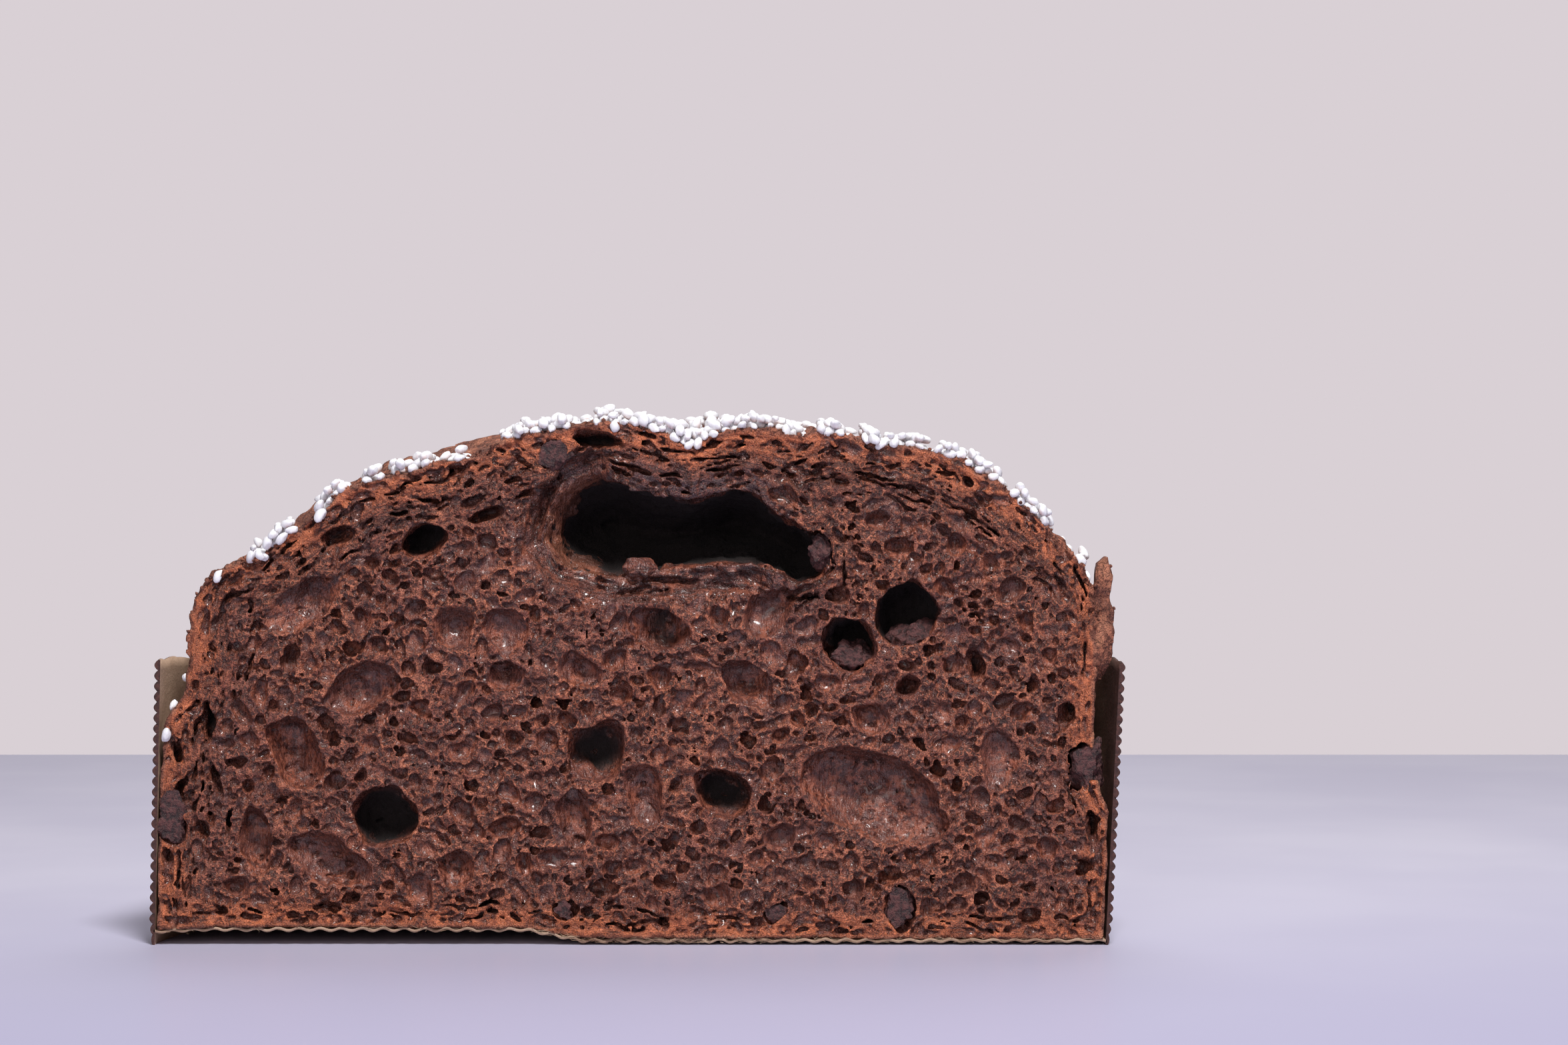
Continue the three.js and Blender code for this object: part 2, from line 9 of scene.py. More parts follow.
import bmesh
import bpy
import numpy as np
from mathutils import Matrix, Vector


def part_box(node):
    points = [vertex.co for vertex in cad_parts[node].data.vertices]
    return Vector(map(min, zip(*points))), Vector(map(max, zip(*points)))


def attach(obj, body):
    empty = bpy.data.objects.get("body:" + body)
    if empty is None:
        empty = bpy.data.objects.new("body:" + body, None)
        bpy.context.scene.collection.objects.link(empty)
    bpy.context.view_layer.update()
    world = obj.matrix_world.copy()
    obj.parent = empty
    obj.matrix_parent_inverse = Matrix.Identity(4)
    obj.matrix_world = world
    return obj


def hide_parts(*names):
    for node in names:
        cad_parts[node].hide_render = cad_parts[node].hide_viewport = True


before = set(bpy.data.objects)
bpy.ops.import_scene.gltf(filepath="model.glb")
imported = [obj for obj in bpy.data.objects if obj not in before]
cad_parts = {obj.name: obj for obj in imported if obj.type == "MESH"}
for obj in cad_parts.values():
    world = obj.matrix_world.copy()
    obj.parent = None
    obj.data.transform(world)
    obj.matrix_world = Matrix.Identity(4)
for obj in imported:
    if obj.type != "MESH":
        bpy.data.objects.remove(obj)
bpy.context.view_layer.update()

import openvdb
from mathutils import Vector

# ---- Driving dimensions ----

MM = 0.001
CUT_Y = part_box("cake")[0].y / MM  # the cut face, in the frame
MIDDLE_X = -1.514  # the middle of the cut, in the frame

CASE_HEIGHT = 60.0
CASE_HALF_WIDTH = 100.5
WING_RADIUS = 55.0
WAIST_RADIUS = 24.0
TAIL_RADIUS = 57.0
TAIL_CENTRE_Y = 93.0
WALL_LEAN = 2.15
WALL_SPREAD = 0.75
LIFT_DEPTH = 60.0
BASE_LIFT = [(-102, 1.8), (-90, 2.4), (-22, 2.3), (-10, 0)]  # x, height
RIB_COUNT = 27
FOOT_RIBS = 2
RIB_VALLEY = 0.5
RIB_CREST = 1.25
FOOT_HEIGHT = 1.25  # underside of the cake over the underside of the base

# Crust line of the cut face, x and z, from the left shoulder to the right one.
CREST = [
    (-92.7, 68), (-91.6, 73.8), (-89, 79), (-83.3, 83.2), (-75.8, 86.1), (-66.8, 93.1),
    (-55.2, 99.9), (-42.8, 102.7), (-30.4, 107.2), (-17.1, 110.1), (-7.2, 112.6), (-0.6, 112.2),
    (7.7, 110.1), (14.3, 107.7), (16.2, 110.1), (24.2, 111), (36.9, 108.6), (38.2, 111),
    (47.4, 109.6), (57.3, 107.7), (70.5, 102.7), (82.1, 96.4), (87.1, 91.9), (91.2, 87.8),
    (96.2, 81.2), (98.2, 76),
]
CROWN_HEIGHT = 112.0
CROWN_FALL = 9.0
SHOULDER_HEIGHT = 70.0
DOME_POWER = 3
DOME_ROUND = 0.6
CUT_REACH = 38.0
PEARL_BED = 2.0  # the crust lies this far under the line along the tops of the pearls
PEARL_BED_RISE = (3.0, 16.0)  # over the shoulder: where that begins, and where it is full

# Sides of the cake: height and distance from the paper at the left, the right and the back.
LEFT_ROWS = [(14, 0.5), (30, 0.5), (46, 0.9), (53, 4.6), (60, 6.4)]
RIGHT_ROWS = [(14, 0.5), (28, 0.6), (34, 3.2), (46, 4.8), (60, 4.9)]
BACK_ROWS = [(14, 0.5), (30, 0.6), (45, 1.4), (52, 2.7), (60, 3.9)]
CRUST_INSET = {"left": 6.3, "right": 4.8, "back": 4.0}
FOOT_INSET = 0.5

# Mouth of the largest hollow, x and z, clockwise from its left end.
GREAT_HOLLOW = [
    (-17.6, 86), (-16, 91.6), (-12, 96.4), (-6.3, 98.8), (-1, 97.6), (5.9, 95.4), (12.3, 94.4),
    (17.4, 96.2), (23.5, 97.4), (28, 95.2), (31.5, 91.4), (37.5, 87.6), (40.8, 84.5), (40.2, 78.5),
    (35.5, 76.2), (31.5, 78.6), (27, 80.2), (19.1, 79.8), (5.9, 78.4), (-4.6, 78), (-13.6, 80.8),
]
GREAT_DEPTH = 30.0
GREAT_INNER = 8.5  # radius of the largest ball in its mouth
FLOOR_LUMP = (2.0, 4.0, 79.4, 3.3, 2.8, 2.4)  # crumb on its floor: x, y, z and half sizes

# Hollows in the cut face: x, z, half width, half height, depth, turn in degrees.
DEEP_CELLS = [
    (-43.6, 85.2, 4.7, 3.7, 11, 25), (-51.6, 26.9, 7.9, 6.4, 13, -10), (58.2, 69.8, 6.9, 7.3, 14, 0),
    (46.4, 62.9, 5.6, 5.2, 13, 0), (5.6, 66.7, 6.3, 4.9, 8, 10), (20.3, 32.3, 6.2, 5.5, 9, 0),
    (-6, 40.6, 6.8, 6.6, 9, 20), (73.1, 59.1, 1.9, 3.4, 6, 0), (58.6, 55.3, 2.7, 2.5, 5, 0),
    (-6.8, 107, 5.6, 1.5, 7, -8), (-61.3, 85.9, 3.5, 1.8, 6, 30), (-30.2, 90.9, 4.2, 1.6, 6, 12),
    (43.7, 73.8, 2.8, 1.9, 5, 0),
]
SHALLOW_CELLS = [
    (52.7, 30.4, 16, 8.8, 7, -26), (-68.9, 71.7, 9.5, 5.2, 5, 38), (-57.8, 54.6, 7.8, 5.2, 6, 22),
    (-70.3, 39.9, 5.8, 8.6, 6, 12), (-79.3, 22.8, 3.6, 8.2, 5, 8), (-63.4, 17.9, 9.2, 4.8, 5, -28),
    (28.4, 70.5, 5.4, 5.8, 6, 0), (-37.8, 68.4, 5.2, 4.6, 4, 30), (-26.7, 67.6, 4.6, 4.6, 4, 0),
    (-10.8, 57.9, 5.3, 3.9, 4.5, -15), (24.3, 55.1, 6.1, 4.7, 5, 0), (51.3, 47.5, 4.2, 3.4, 4, 0),
    (77.5, 39.9, 3.8, 6.8, 4, 0), (57.1, 83.8, 2.8, 2.4, 3, -20), (79.6, 75.2, 2.5, 3.4, 3, -30),
    (-12.2, 27.6, 3.6, 6.6, 4, 10), (3.5, 30.6, 4.2, 7, 5, 0), (31.9, 22.8, 3.5, 3.4, 3, 0),
    (-36.4, 15.9, 4.2, 4, 3, 0), (-26, 56.5, 4.2, 3.5, 4, 0), (88.6, 20.7, 2.5, 2.6, 3, 0),
]
SIDE_SLITS = [
    (-89.4, 47.8, 1.1, 4.2, 6, 0), (-95.2, 40.7, 1.1, 2.8, 5, 0), (-87.9, 35.2, 1.1, 3.8, 5, 8),
    (-90.6, 24.5, 1.1, 3.2, 5, 12), (92.2, 48.9, 1.6, 3.6, 6, -18), (85.5, 55, 1.5, 2, 4, 0),
    (97.4, 24.5, 0.9, 4.6, 5, -10), (-95.8, 32.4, 0.8, 3.4, 5, 0), (-84.9, 25.3, 0.8, 3, 5, 6),
    (-98, 19, 0.7, 2.2, 4, 10),
]

# Chocolate: x, y, z and half sizes along them.
CHUNKS = [
    (97.0, 3.6, 38, 4.1, 4.4, 5.4), (60.6, 6.4, 64.6, 5.0, 3.6, 3.6), (46.6, 6.2, 60.4, 4.6, 3.6, 3.2),
    (41.2, 4.6, 83.2, 3.6, 3.6, 4.2), (-16.2, 1, 103.4, 2.9, 3.4, 2.9),
    (56.8, 1, 7.8, 2.6, 3.2, 3.7), (-13.9, 1, 7.0, 2.1, 2.6, 1.9), (30.5, 1, 6.4, 1.9, 2.4, 1.6),
    (-96.8, 1, 26.2, 2.9, 3.4, 5.6),
]
KNIFE_FRONT = 0.35  # the knife left their faces this far behind the cut, more or less
KNIFE_WAVE = 0.1
POCKET_ROOM = 0.5

# A torn sliver of crust beside the right shoulder.
SLIVER = [
    (95.5, 55), (99.6, 56), (101.8, 61), (102.3, 68), (101.4, 73.5), (102.1, 78), (101, 82.2),
    (98.6, 80.6), (97.9, 73), (97.2, 66), (96, 60),
]
SLIVER_MIDDLE = 4.7
SLIVER_HALF_DEPTH = 3.5
SLIVER_LAYERS = [(2.2, 7, 77), (1.0, 2.6, 78)]
SLIVER_SIDE = 95.4  # no pearls lie beyond this, up to this far back
SLIVER_BACK = 9.5


def smooth(value, low, high):
    """0 up to low, 1 from high on, and smooth between."""
    t = np.clip((np.asarray(value, float) - low) / (high - low), 0, 1)
    return t * t * (3 - 2 * t)


def mix(a, b, share):
    return a + (b - a) * share


# ---- Noise ----

LATTICE = 32
LATTICE_SHIFT = 1000.0  # keeps every place positive
LATTICES = {}


def lattice(seed):
    if seed not in LATTICES:
        draw = np.random.default_rng(seed)
        LATTICES[seed] = draw.uniform(-1, 1, (LATTICE,) * 3).astype(np.float32)
    return LATTICES[seed]


def lattice_steps(values, size):
    t = np.asarray(values) / size + LATTICE_SHIFT
    whole = np.floor(t).astype(int)
    part = (t - whole).astype(np.float32)
    return whole % LATTICE, (whole + 1) % LATTICE, part * part * (3 - 2 * part)


def noise_grid(axes, size, seed):
    """Smooth noise from -1 to 1 on a grid, with bumps of this size."""
    (a0, a1, u), (b0, b1, v), (c0, c1, w) = [lattice_steps(a, size) for a in axes]
    t = lattice(seed)
    t = t[a0] * (1 - u)[:, None, None] + t[a1] * u[:, None, None]
    t = t[:, b0] * (1 - v)[None, :, None] + t[:, b1] * v[None, :, None]
    return t[:, :, c0] * (1 - w) + t[:, :, c1] * w


def noise_at(points, size, seed):
    """The same noise at single points."""
    (a0, a1, u), (b0, b1, v), (c0, c1, w) = [lattice_steps(points[:, k], size) for k in range(3)]
    t = lattice(seed)
    low, high = [mix(*[mix(t[a0, b, c], t[a1, b, c], u) for b in (b0, b1)], v) for c in (c0, c1)]
    return mix(low, high, w)


def layered(noise, where, layers):
    """Sum of noises given as height, size and seed."""
    return sum(height * noise(where, size, seed) for height, size, seed in layers)


# ---- Plan and outer form ----

WING = np.array([CASE_HALF_WIDTH - WING_RADIUS, 0.0])
TAIL = np.array([0.0, TAIL_CENTRE_Y])


def waist_centre():
    """The waist arc touches the wing arc and the tail arc from outside."""
    along = TAIL - WING
    apart = np.hypot(*along)
    along = along / apart
    reach_wing, reach_tail = WING_RADIUS + WAIST_RADIUS, TAIL_RADIUS + WAIST_RADIUS
    share = (reach_wing**2 - reach_tail**2 + apart**2) / (2 * apart)
    out = math.sqrt(reach_wing**2 - share**2)
    return WING + along * share + np.array([along[1], -along[0]]) * out


WAIST = waist_centre()
WING_END = math.atan2(WAIST[1] - WING[1], WAIST[0] - WING[0])
TAIL_START = math.atan2(WAIST[1] - TAIL[1], WAIST[0] - TAIL[0])
ARCS = [  # centre, radius, first and last angle, how an inset changes the radius
    (WING, WING_RADIUS, 0.0, WING_END, -1),
    (WAIST, WAIST_RADIUS, math.pi + WING_END, math.pi + TAIL_START, 1),
    (TAIL, TAIL_RADIUS, TAIL_START, math.pi / 2, -1),
]
OUTLINE = sum(radius * abs(last - first) for _, radius, first, last, _ in ARCS)


def plan(along, inset):
    """x and y of the right half of the outline, this far along it and in from the wall."""
    along, inset = np.broadcast_arrays(np.asarray(along, float), np.asarray(inset, float))
    x, y = np.zeros(along.shape), np.zeros(along.shape)
    start = 0.0
    for centre, radius, first, last, grow in ARCS:
        length = radius * abs(last - first)
        angle = first + (last - first) * (along - start) / length
        reach = radius + grow * inset
        on = along >= start
        x = np.where(on, centre[0] + reach * np.cos(angle), x)
        y = np.where(on, centre[1] + reach * np.sin(angle), y)
        start += length
    return x, y


def lean(x, z):
    return np.minimum(z, CASE_HEIGHT) / CASE_HEIGHT * (WALL_LEAN + WALL_SPREAD * x / CASE_HALF_WIDTH)


def lift(x, y):
    lifts = np.interp(x, *zip(*BASE_LIFT))
    return lifts * (1 - smooth(y, 0, LIFT_DEPTH))


def cut_share(y):
    """1 at the cut, 0 where the cake behind it is even."""
    return 1 - smooth(y, 0, CUT_REACH)


def crest_height(share):
    """Height of the crust line at a share of the half width, from -1 to 1."""
    x, z = np.array(CREST, float).T
    inset = np.where(x < 0, CRUST_INSET["left"], CRUST_INSET["right"])
    known = (x - lean(x, CASE_HEIGHT)) / (CASE_HALF_WIDTH - inset)
    return np.interp(share, known, z)


def dome_height(x, y, half_width):
    beyond = np.maximum(0, y - TAIL_CENTRE_Y)
    out = np.minimum(1, np.hypot(x, beyond) / half_width)
    crown = CROWN_HEIGHT - CROWN_FALL * np.minimum(1, y / TAIL_CENTRE_Y) ** 2
    return SHOULDER_HEIGHT + (crown - SHOULDER_HEIGHT) * (1 - out**DOME_POWER) ** DOME_ROUND


CRUST_SHARES = np.sin(np.linspace(math.pi / 2, -math.pi / 2, 181))
FOOT_SHARES = np.array([-1, -0.88, -0.6, -0.22, -0.11, 1])


def body_ring(along):
    """A closed section of the cake: foot, right side, crust from right to left, left side."""
    near = cut_share(plan(along, 0)[1])

    def side(sign, rows):
        z, inset = mix(np.array(BACK_ROWS, float), np.array(rows, float), near).T
        x, y = plan(along, inset)
        return np.column_stack([sign * x, y, z])

    foot_x, foot_y = plan(along, FOOT_INSET)
    x = foot_x * FOOT_SHARES
    y = np.full(x.shape, foot_y)
    foot = np.column_stack([x, y, lift(x, y) + FOOT_HEIGHT])

    front = np.where(CRUST_SHARES < 0, CRUST_INSET["left"], CRUST_INSET["right"])
    inset = mix(CRUST_INSET["back"], front, near)
    edge_x, y = plan(along, inset)
    widest = np.where(y > TAIL_CENTRE_Y, TAIL_RADIUS - inset, edge_x)
    x = edge_x * CRUST_SHARES
    height = mix(dome_height(x, y, widest), crest_height(CRUST_SHARES), cut_share(y))
    height = height - PEARL_BED * smooth(height - SHOULDER_HEIGHT, *PEARL_BED_RISE)
    crust = np.column_stack([x, y, height])

    ring = np.vstack([foot, side(1, RIGHT_ROWS), crust, side(-1, LEFT_ROWS)[::-1]])
    ring[:, 0] += lean(ring[:, 0], ring[:, 2])
    return ring


def strip_quads(rows, size, closed=True):
    """Quads between neighbouring rows of equally many points."""
    row, column = np.meshgrid(np.arange(rows - 1), np.arange(size if closed else size - 1), indexing="ij")
    a = (row * size + column).ravel()
    b = (row * size + (column + 1) % size).ravel()
    return np.column_stack([a, b, b + size, a + size])


BODY_STEP = 2.0
FRONT_EXTRA = 20.0  # the measured body runs on in front of the cut


def body_mesh():
    rings = [body_ring(along) for along in np.arange(0, OUTLINE, BODY_STEP)] + [body_ring(OUTLINE)]
    rings.insert(0, rings[0] - [0, FRONT_EXTRA, 0])
    size = len(rings[0])
    points = np.vstack([*rings, rings[0].mean(axis=0)])
    hub = len(points) - 1
    cap = np.array([(hub, (k + 1) % size, k) for k in range(size)])
    return points, cap, strip_quads(len(rings), size)


def grid_axes(low, high, voxel):
    return tuple(np.arange(a, b, voxel) for a, b in zip(low, high))


def body_distance(axes, voxel, band):
    """Distance to the outer form of the cake, negative inside."""
    points, cap, quads = body_mesh()
    origin = np.array([a[0] for a in axes])
    grid = openvdb.FloatGrid.createLevelSetFromPolygons(
        (points - origin).astype(np.float32), triangles=cap.astype(np.uint32),
        quads=quads.astype(np.uint32), transform=openvdb.createLinearTransform(voxel),
        exBandWidth=4.0, inBandWidth=band / voxel)
    field = np.empty([len(a) for a in axes], np.float32)
    grid.copyToArray(field)
    return field


def resample(field, axes, voxel, new_axes):
    """A field on a finer grid, linear between its values."""
    for k in range(3):
        t = (new_axes[k] - axes[k][0]) / voxel
        whole = np.clip(np.floor(t).astype(int), 0, field.shape[k] - 2)
        part = (t - whole).astype(np.float32)
        part = part.reshape([-1 if k == j else 1 for j in range(3)])
        field = field.take(whole, axis=k) * (1 - part) + field.take(whole + 1, axis=k) * part
    return field


# ---- Crumb ----

SLAB_VOXEL = 0.36
SLAB_BACK = 16.0  # the fine crumb reaches this deep
CUT_LAYER = 9  # a layer of the slab's grid just behind the cut
SLAB_CORNERS = (-106, -1.6, -0.5), (106, SLAB_BACK + 0.8, 117.5)
BODY_VOXEL = 0.8
BODY_CORNERS = (-107, -3, -1.5), (107, 153, 118)
BODY_FRONT = 14.6
BODY_SET_BACK = 0.12  # of the body's crust where it meets the slab's
BAND = 22.0  # distances inside the cake are known this deep
OPEN_GAP = 3.0  # stands for any distance past this to a bubble
CARVE_MARGIN = 1.7

CUT_LAYERS = [(0.5, 14, 33), (0.42, 3.4, 31), (0.34, 1.5, 32), (0.22, 0.8, 34)]
CRUST_LAYERS = [(1.0, 17, 41), (0.9, 6, 42), (0.8, 2.6, 43)]
CRUST_FINE_LAYERS = [(0.45, 1.2, 44)]
WARP_LAYERS = [(1.5, 9.5, 60), (0.8, 4.2, 10), (0.34, 1.4, 20)]
HOLLOW_LAYERS = [(1.2, 8, 51), (0.7, 2.6, 52), (0.4, 1.2, 53)]
WALL_LAYERS = [(0.36, 2.4, 71), (0.2, 0.95, 72)]
LUMP_LAYERS = [(0.8, 1.6, 75), (0.4, 0.8, 76)]
STRANDS = [(0.36, 1.15, 12.0, 81), (0.28, 0.75, 7.0, 82)]  # height, thickness, length, seed


class Foam:
    """On the slab's grid: distance to the nearest bubble of the crumb, that bubble's size, and how
    much painted shade its hole gets, from -1 for an open bowl to 1."""

    def __init__(self, axes, voxel):
        self.axes, self.voxel = axes, voxel
        self.shape = tuple(len(a) for a in axes)
        self.gap = np.full(self.shape, OPEN_GAP, np.float32)
        self.size = np.zeros(self.shape, np.float32)
        self.hole = np.zeros(self.shape, np.float32)
        self.warp = [
            layered(noise_grid, axes, [(h, s, seed + k) for h, s, seed in WARP_LAYERS]).astype(np.float32)
            for k in range(3)
        ]

    def place(self, centre):
        index = [int(round((centre[k] - self.axes[k][0]) / self.voxel)) for k in range(3)]
        return tuple(min(max(i, 0), n - 1) for i, n in zip(index, self.shape))

    def carve(self, centre, half, turn, hole=0.0):
        """Cut an ellipsoid, turned in the plane of the cut and bent by the warp."""
        reach = max(half) + CARVE_MARGIN
        window = []
        for k in range(3):
            first = int((centre[k] - reach - self.axes[k][0]) / self.voxel)
            last = int((centre[k] + reach - self.axes[k][0]) / self.voxel) + 2
            window.append(slice(max(0, first), max(0, last)))
        window = tuple(window)
        here = self.place(centre)
        x, y, z = [
            self.axes[k][window[k]].astype(np.float32).reshape([-1 if k == j else 1 for j in range(3)])
            - np.float32(centre[k] + self.warp[k][here]) + self.warp[k][window]
            for k in range(3)
        ]
        if 0 in x.shape:
            return
        c, s = math.cos(turn), math.sin(turn)
        along = (x * c + z * s) / half[0]
        across = (z * c - x * s) / half[2]
        distance = (np.sqrt(along**2 + across**2 + (y / half[1]) ** 2) - 1) * min(half)
        nearer = distance < self.gap[window]
        self.gap[window] = np.where(nearer, distance, self.gap[window])
        self.size[window] = np.where(nearer, min(half), self.size[window])
        self.hole[window] = np.where(nearer, hole, self.hole[window])


def polygon_distance(outline, x, z):
    """Distance to a polygon in the plane of the cut, negative inside."""
    best = np.full(np.broadcast_shapes(np.shape(x), np.shape(z)), 1e9)
    inside = np.zeros(best.shape, bool)
    for (ax, az), (bx, bz) in zip(outline, outline[1:] + outline[:1]):
        long_x, long_z = bx - ax, bz - az
        t = np.clip(((x - ax) * long_x + (z - az) * long_z) / (long_x**2 + long_z**2), 0, 1)
        best = np.minimum(best, np.hypot(x - ax - t * long_x, z - az - t * long_z))
        crosses = (az > z) != (bz > z)
        inside ^= crosses & (x < long_x * (z - az) / (long_z + 1e-12) + ax)
    return np.where(inside, -best, best)


def great_hollow_distance(x, y, z):
    """Distance to the largest hollow, which narrows as it goes back from its mouth."""
    return polygon_distance(GREAT_HOLLOW, x, z) + GREAT_INNER * (y / GREAT_DEPTH) ** 2


LIP_LEFT = (-9, -3)  # x where the rolled lip is full, and where it ends
LIP_FLOOR = (77, 83)  # z of the same
LIP_FLOOR_END = (26, 31)
LIP_FLOOR_SHARE = 0.65


def hollow_field(axes):
    """The same on a grid, with uneven walls."""
    return great_hollow_distance(*np.ix_(*axes)) + layered(noise_grid, axes, HOLLOW_LAYERS)


def hollow_lip(x, z):
    """1 where the mouth of the largest hollow is rolled outwards: at its left and along its floor."""
    left = 1 - smooth(x, *LIP_LEFT)
    floor = (1 - smooth(z, *LIP_FLOOR)) * (1 - smooth(x, *LIP_FLOOR_END))
    return np.maximum(left, LIP_FLOOR_SHARE * floor)


LIP_ROUNDING = 9.5
LIP_REACH = (3, 7)  # from the hollow: where the rounding begins to fade, and where it ends
RIM_SHARE = 0.12  # how round a cell's rim is, as a share of the cell's size
RIM_ROUNDING = (0.08, 0.5)  # least and most
RIDGE_REACH = 1.5
RIDGE_CELLS = 2

# Bubbles by size: most and least radius, draws, how deep their centres lie, room from others.
BUBBLES = [
    (3.8, 2.1, 380, 2.4, 1.15), (2.1, 1.15, 2300, 1.3, 1.0), (1.15, 0.68, 8000, 0.5, 0.95),
    (0.68, 0.42, 34000, 0.2, 0.85),
]
BUBBLE_ROUNDS = 5  # the free spots are looked for again this many times for each size
BUBBLE_SEED = 5
SLITS = (900, 0.6, 1.6)  # thin ones between the layers near the crust: draws, least and most radius
SLIT_LONG = (2.0, 4.6)  # half length, over the radius
SLIT_FLAT = (0.17, 0.12)  # half height: a share of the radius, and what is added
SLIT_DEEP = 2.5  # none lies nearer to the paper or the crust
DIMPLES = (800, 0.35, 0.7)  # how many in the walls of larger cells, least and most radius
DIMPLED_SIZE = 2.4  # cells this large have them
DIMPLED_DEPTH = 1.2

NEAR_SKIN = (0.3, 1.1)  # shares of the layers' depth where they begin to fade, and where they end
NEAR_HOLLOW = (3, 10)  # the same round the largest hollow
LAYERS_DEEP = (7, 11, 7)  # the crumb is layered this deep: anywhere, more at the top, more at the left
ROOF_REACH = 7.0  # so far from the largest hollow its skin draws the bubbles out


def layers_deep(up, left):
    """How deep the layers reach where the outside faces up or left by these shares."""
    least, top, side = LAYERS_DEEP
    return least + top * np.maximum(0, up) + side * np.maximum(0, left)


class Flow:
    """Which way the bubbles are drawn out: along the crust, the paper and the great hollow's roof."""

    def __init__(self, body, axes):
        layer = int((2.0 - axes[1][0]) / BODY_VOXEL)
        self.body = body[:, layer, :]
        self.axes = axes
        self.grad = np.gradient(self.body)
        self.roof = great_hollow_distance(axes[0][:, None], 0, axes[2][None, :])
        self.roof_grad = np.gradient(self.roof)

    def at(self, x, z):
        i = int((x - self.axes[0][0]) / BODY_VOXEL)
        k = int((z - self.axes[2][0]) / BODY_VOXEL)
        normal_x, normal_z = self.grad[0][i, k], self.grad[1][i, k]
        long = math.hypot(normal_x, normal_z) + 1e-6
        normal_x, normal_z = normal_x / long, normal_z / long
        depth = -self.body[i, k]
        reach = layers_deep(normal_z, -normal_x)
        near = 1 - float(smooth(depth, 0.25 * reach, reach))
        roof = self.roof[i, k]
        if 0 < roof < ROOF_REACH:
            normal_x, normal_z = self.roof_grad[0][i, k], self.roof_grad[1][i, k]
            near = max(near, 1 - roof / ROOF_REACH)
        turn = math.atan2(normal_x, -normal_z)
        return depth, near, turn


def fill_with_bubbles(foam, flow, rough, crumb):
    """Bubbles that open in the cut surface, which lies this far back where there is crumb."""
    draw = np.random.default_rng(BUBBLE_SEED)
    layer = np.round((rough - foam.axes[1][0]) / SLAB_VOXEL).astype(int)

    def free_spots(room, count):
        gap = np.take_along_axis(foam.gap, layer[:, None, :], axis=1)[:, 0, :]
        free = np.argwhere(crumb & (gap > room))
        return free[draw.integers(0, len(free), count)]

    def spot(i, k):
        jitter = SLAB_VOXEL / 2
        x = foam.axes[0][i] + draw.uniform(-jitter, jitter)
        return x, foam.axes[2][k] + draw.uniform(-jitter, jitter)

    count, least, most = SLITS
    for i, k in free_spots(1.0, count):
        radius = draw.uniform(least, most)
        x, z = spot(i, k)
        depth, near, turn = flow.at(x, z)
        y = rough[i, k] + draw.uniform(0, 1.2)
        if depth > SLIT_DEEP and near > 0.3 and foam.gap[foam.place((x, y, z))] > 0.5 * radius:
            half = (radius * draw.uniform(*SLIT_LONG), 2.0 * radius, SLIT_FLAT[0] * radius + SLIT_FLAT[1])
            foam.carve((x, y, z), half, turn + draw.normal(0, 0.12))
    for most, least, tries, deep, room in BUBBLES:
        for _ in range(BUBBLE_ROUNDS):
            for i, k in free_spots(0.75 * least, tries // BUBBLE_ROUNDS):
                radius = least + (most - least) * draw.random() ** 1.6
                x, z = spot(i, k)
                y = rough[i, k] + draw.uniform(-0.3 * radius, max(0.4 * radius, deep))
                if foam.gap[foam.place((x, y, z))] < room * radius * draw.uniform(0.85, 1.1):
                    continue
                depth, near, turn = flow.at(x, z)
                if depth < 0.8 + 0.7 * radius or (near > 0.8 and radius > 1.9):
                    continue
                stretch = 1.1 + 2.6 * near * draw.random()
                long, short = math.sqrt(stretch) * radius, radius / stretch**0.75
                turn = turn + draw.normal(0, 0.25) if near > 0.25 else draw.uniform(-0.9, 0.9)
                foam.carve((x, y, z), (long, 0.95 * radius, short), turn)


def dimple_walls(foam):
    """Small bubbles that open in the walls of the larger cells."""
    count, least, most = DIMPLES
    draw = np.random.default_rng(BUBBLE_SEED + 1)
    wall = (np.abs(foam.gap) < 0.25) & (foam.size > DIMPLED_SIZE)
    wall &= (foam.axes[1] > DIMPLED_DEPTH)[None, :, None]
    spots = np.argwhere(wall)
    for index in spots[draw.choice(len(spots), count, replace=False)]:
        radius = least + (most - least) * draw.random() ** 1.5
        centre = [foam.axes[k][index[k]] for k in range(3)]
        foam.carve(centre, (radius, radius, radius * draw.uniform(0.7, 1)), draw.uniform(0, math.pi))


def laminate(axes, outer):
    """Where the crumb is laminated, near its outside and round the hollow: its relief on the cut
    face, how layered it is from 0 to 1, and the distance across the layers."""
    x, z = np.meshgrid(axes[0], axes[2], indexing="ij")
    inside = -outer[:, CUT_LAYER, :]
    fall_x, fall_z = np.gradient(-inside, SLAB_VOXEL)
    reach = layers_deep(fall_z, -fall_x)
    near_skin = 1 - smooth(inside, NEAR_SKIN[0] * reach, NEAR_SKIN[1] * reach)
    hollow = great_hollow_distance(x, 0, z)
    near_hollow = 1 - smooth(hollow, *NEAR_HOLLOW)
    relief = np.zeros(x.shape)
    for distance, near in ((inside, near_skin * (1 - near_hollow)), (hollow, near_hollow)):
        for height, thick, long, seed in STRANDS:
            where = [x.ravel() * thick / long, distance.ravel(), z.ravel() * thick / long]
            relief += near * height * noise_at(np.column_stack(where), thick, seed).reshape(x.shape)
    across = np.where(near_hollow > near_skin, hollow, inside)
    parts = relief, np.maximum(near_skin, near_hollow), across
    return [part.astype(np.float32)[:, None, :] for part in parts]


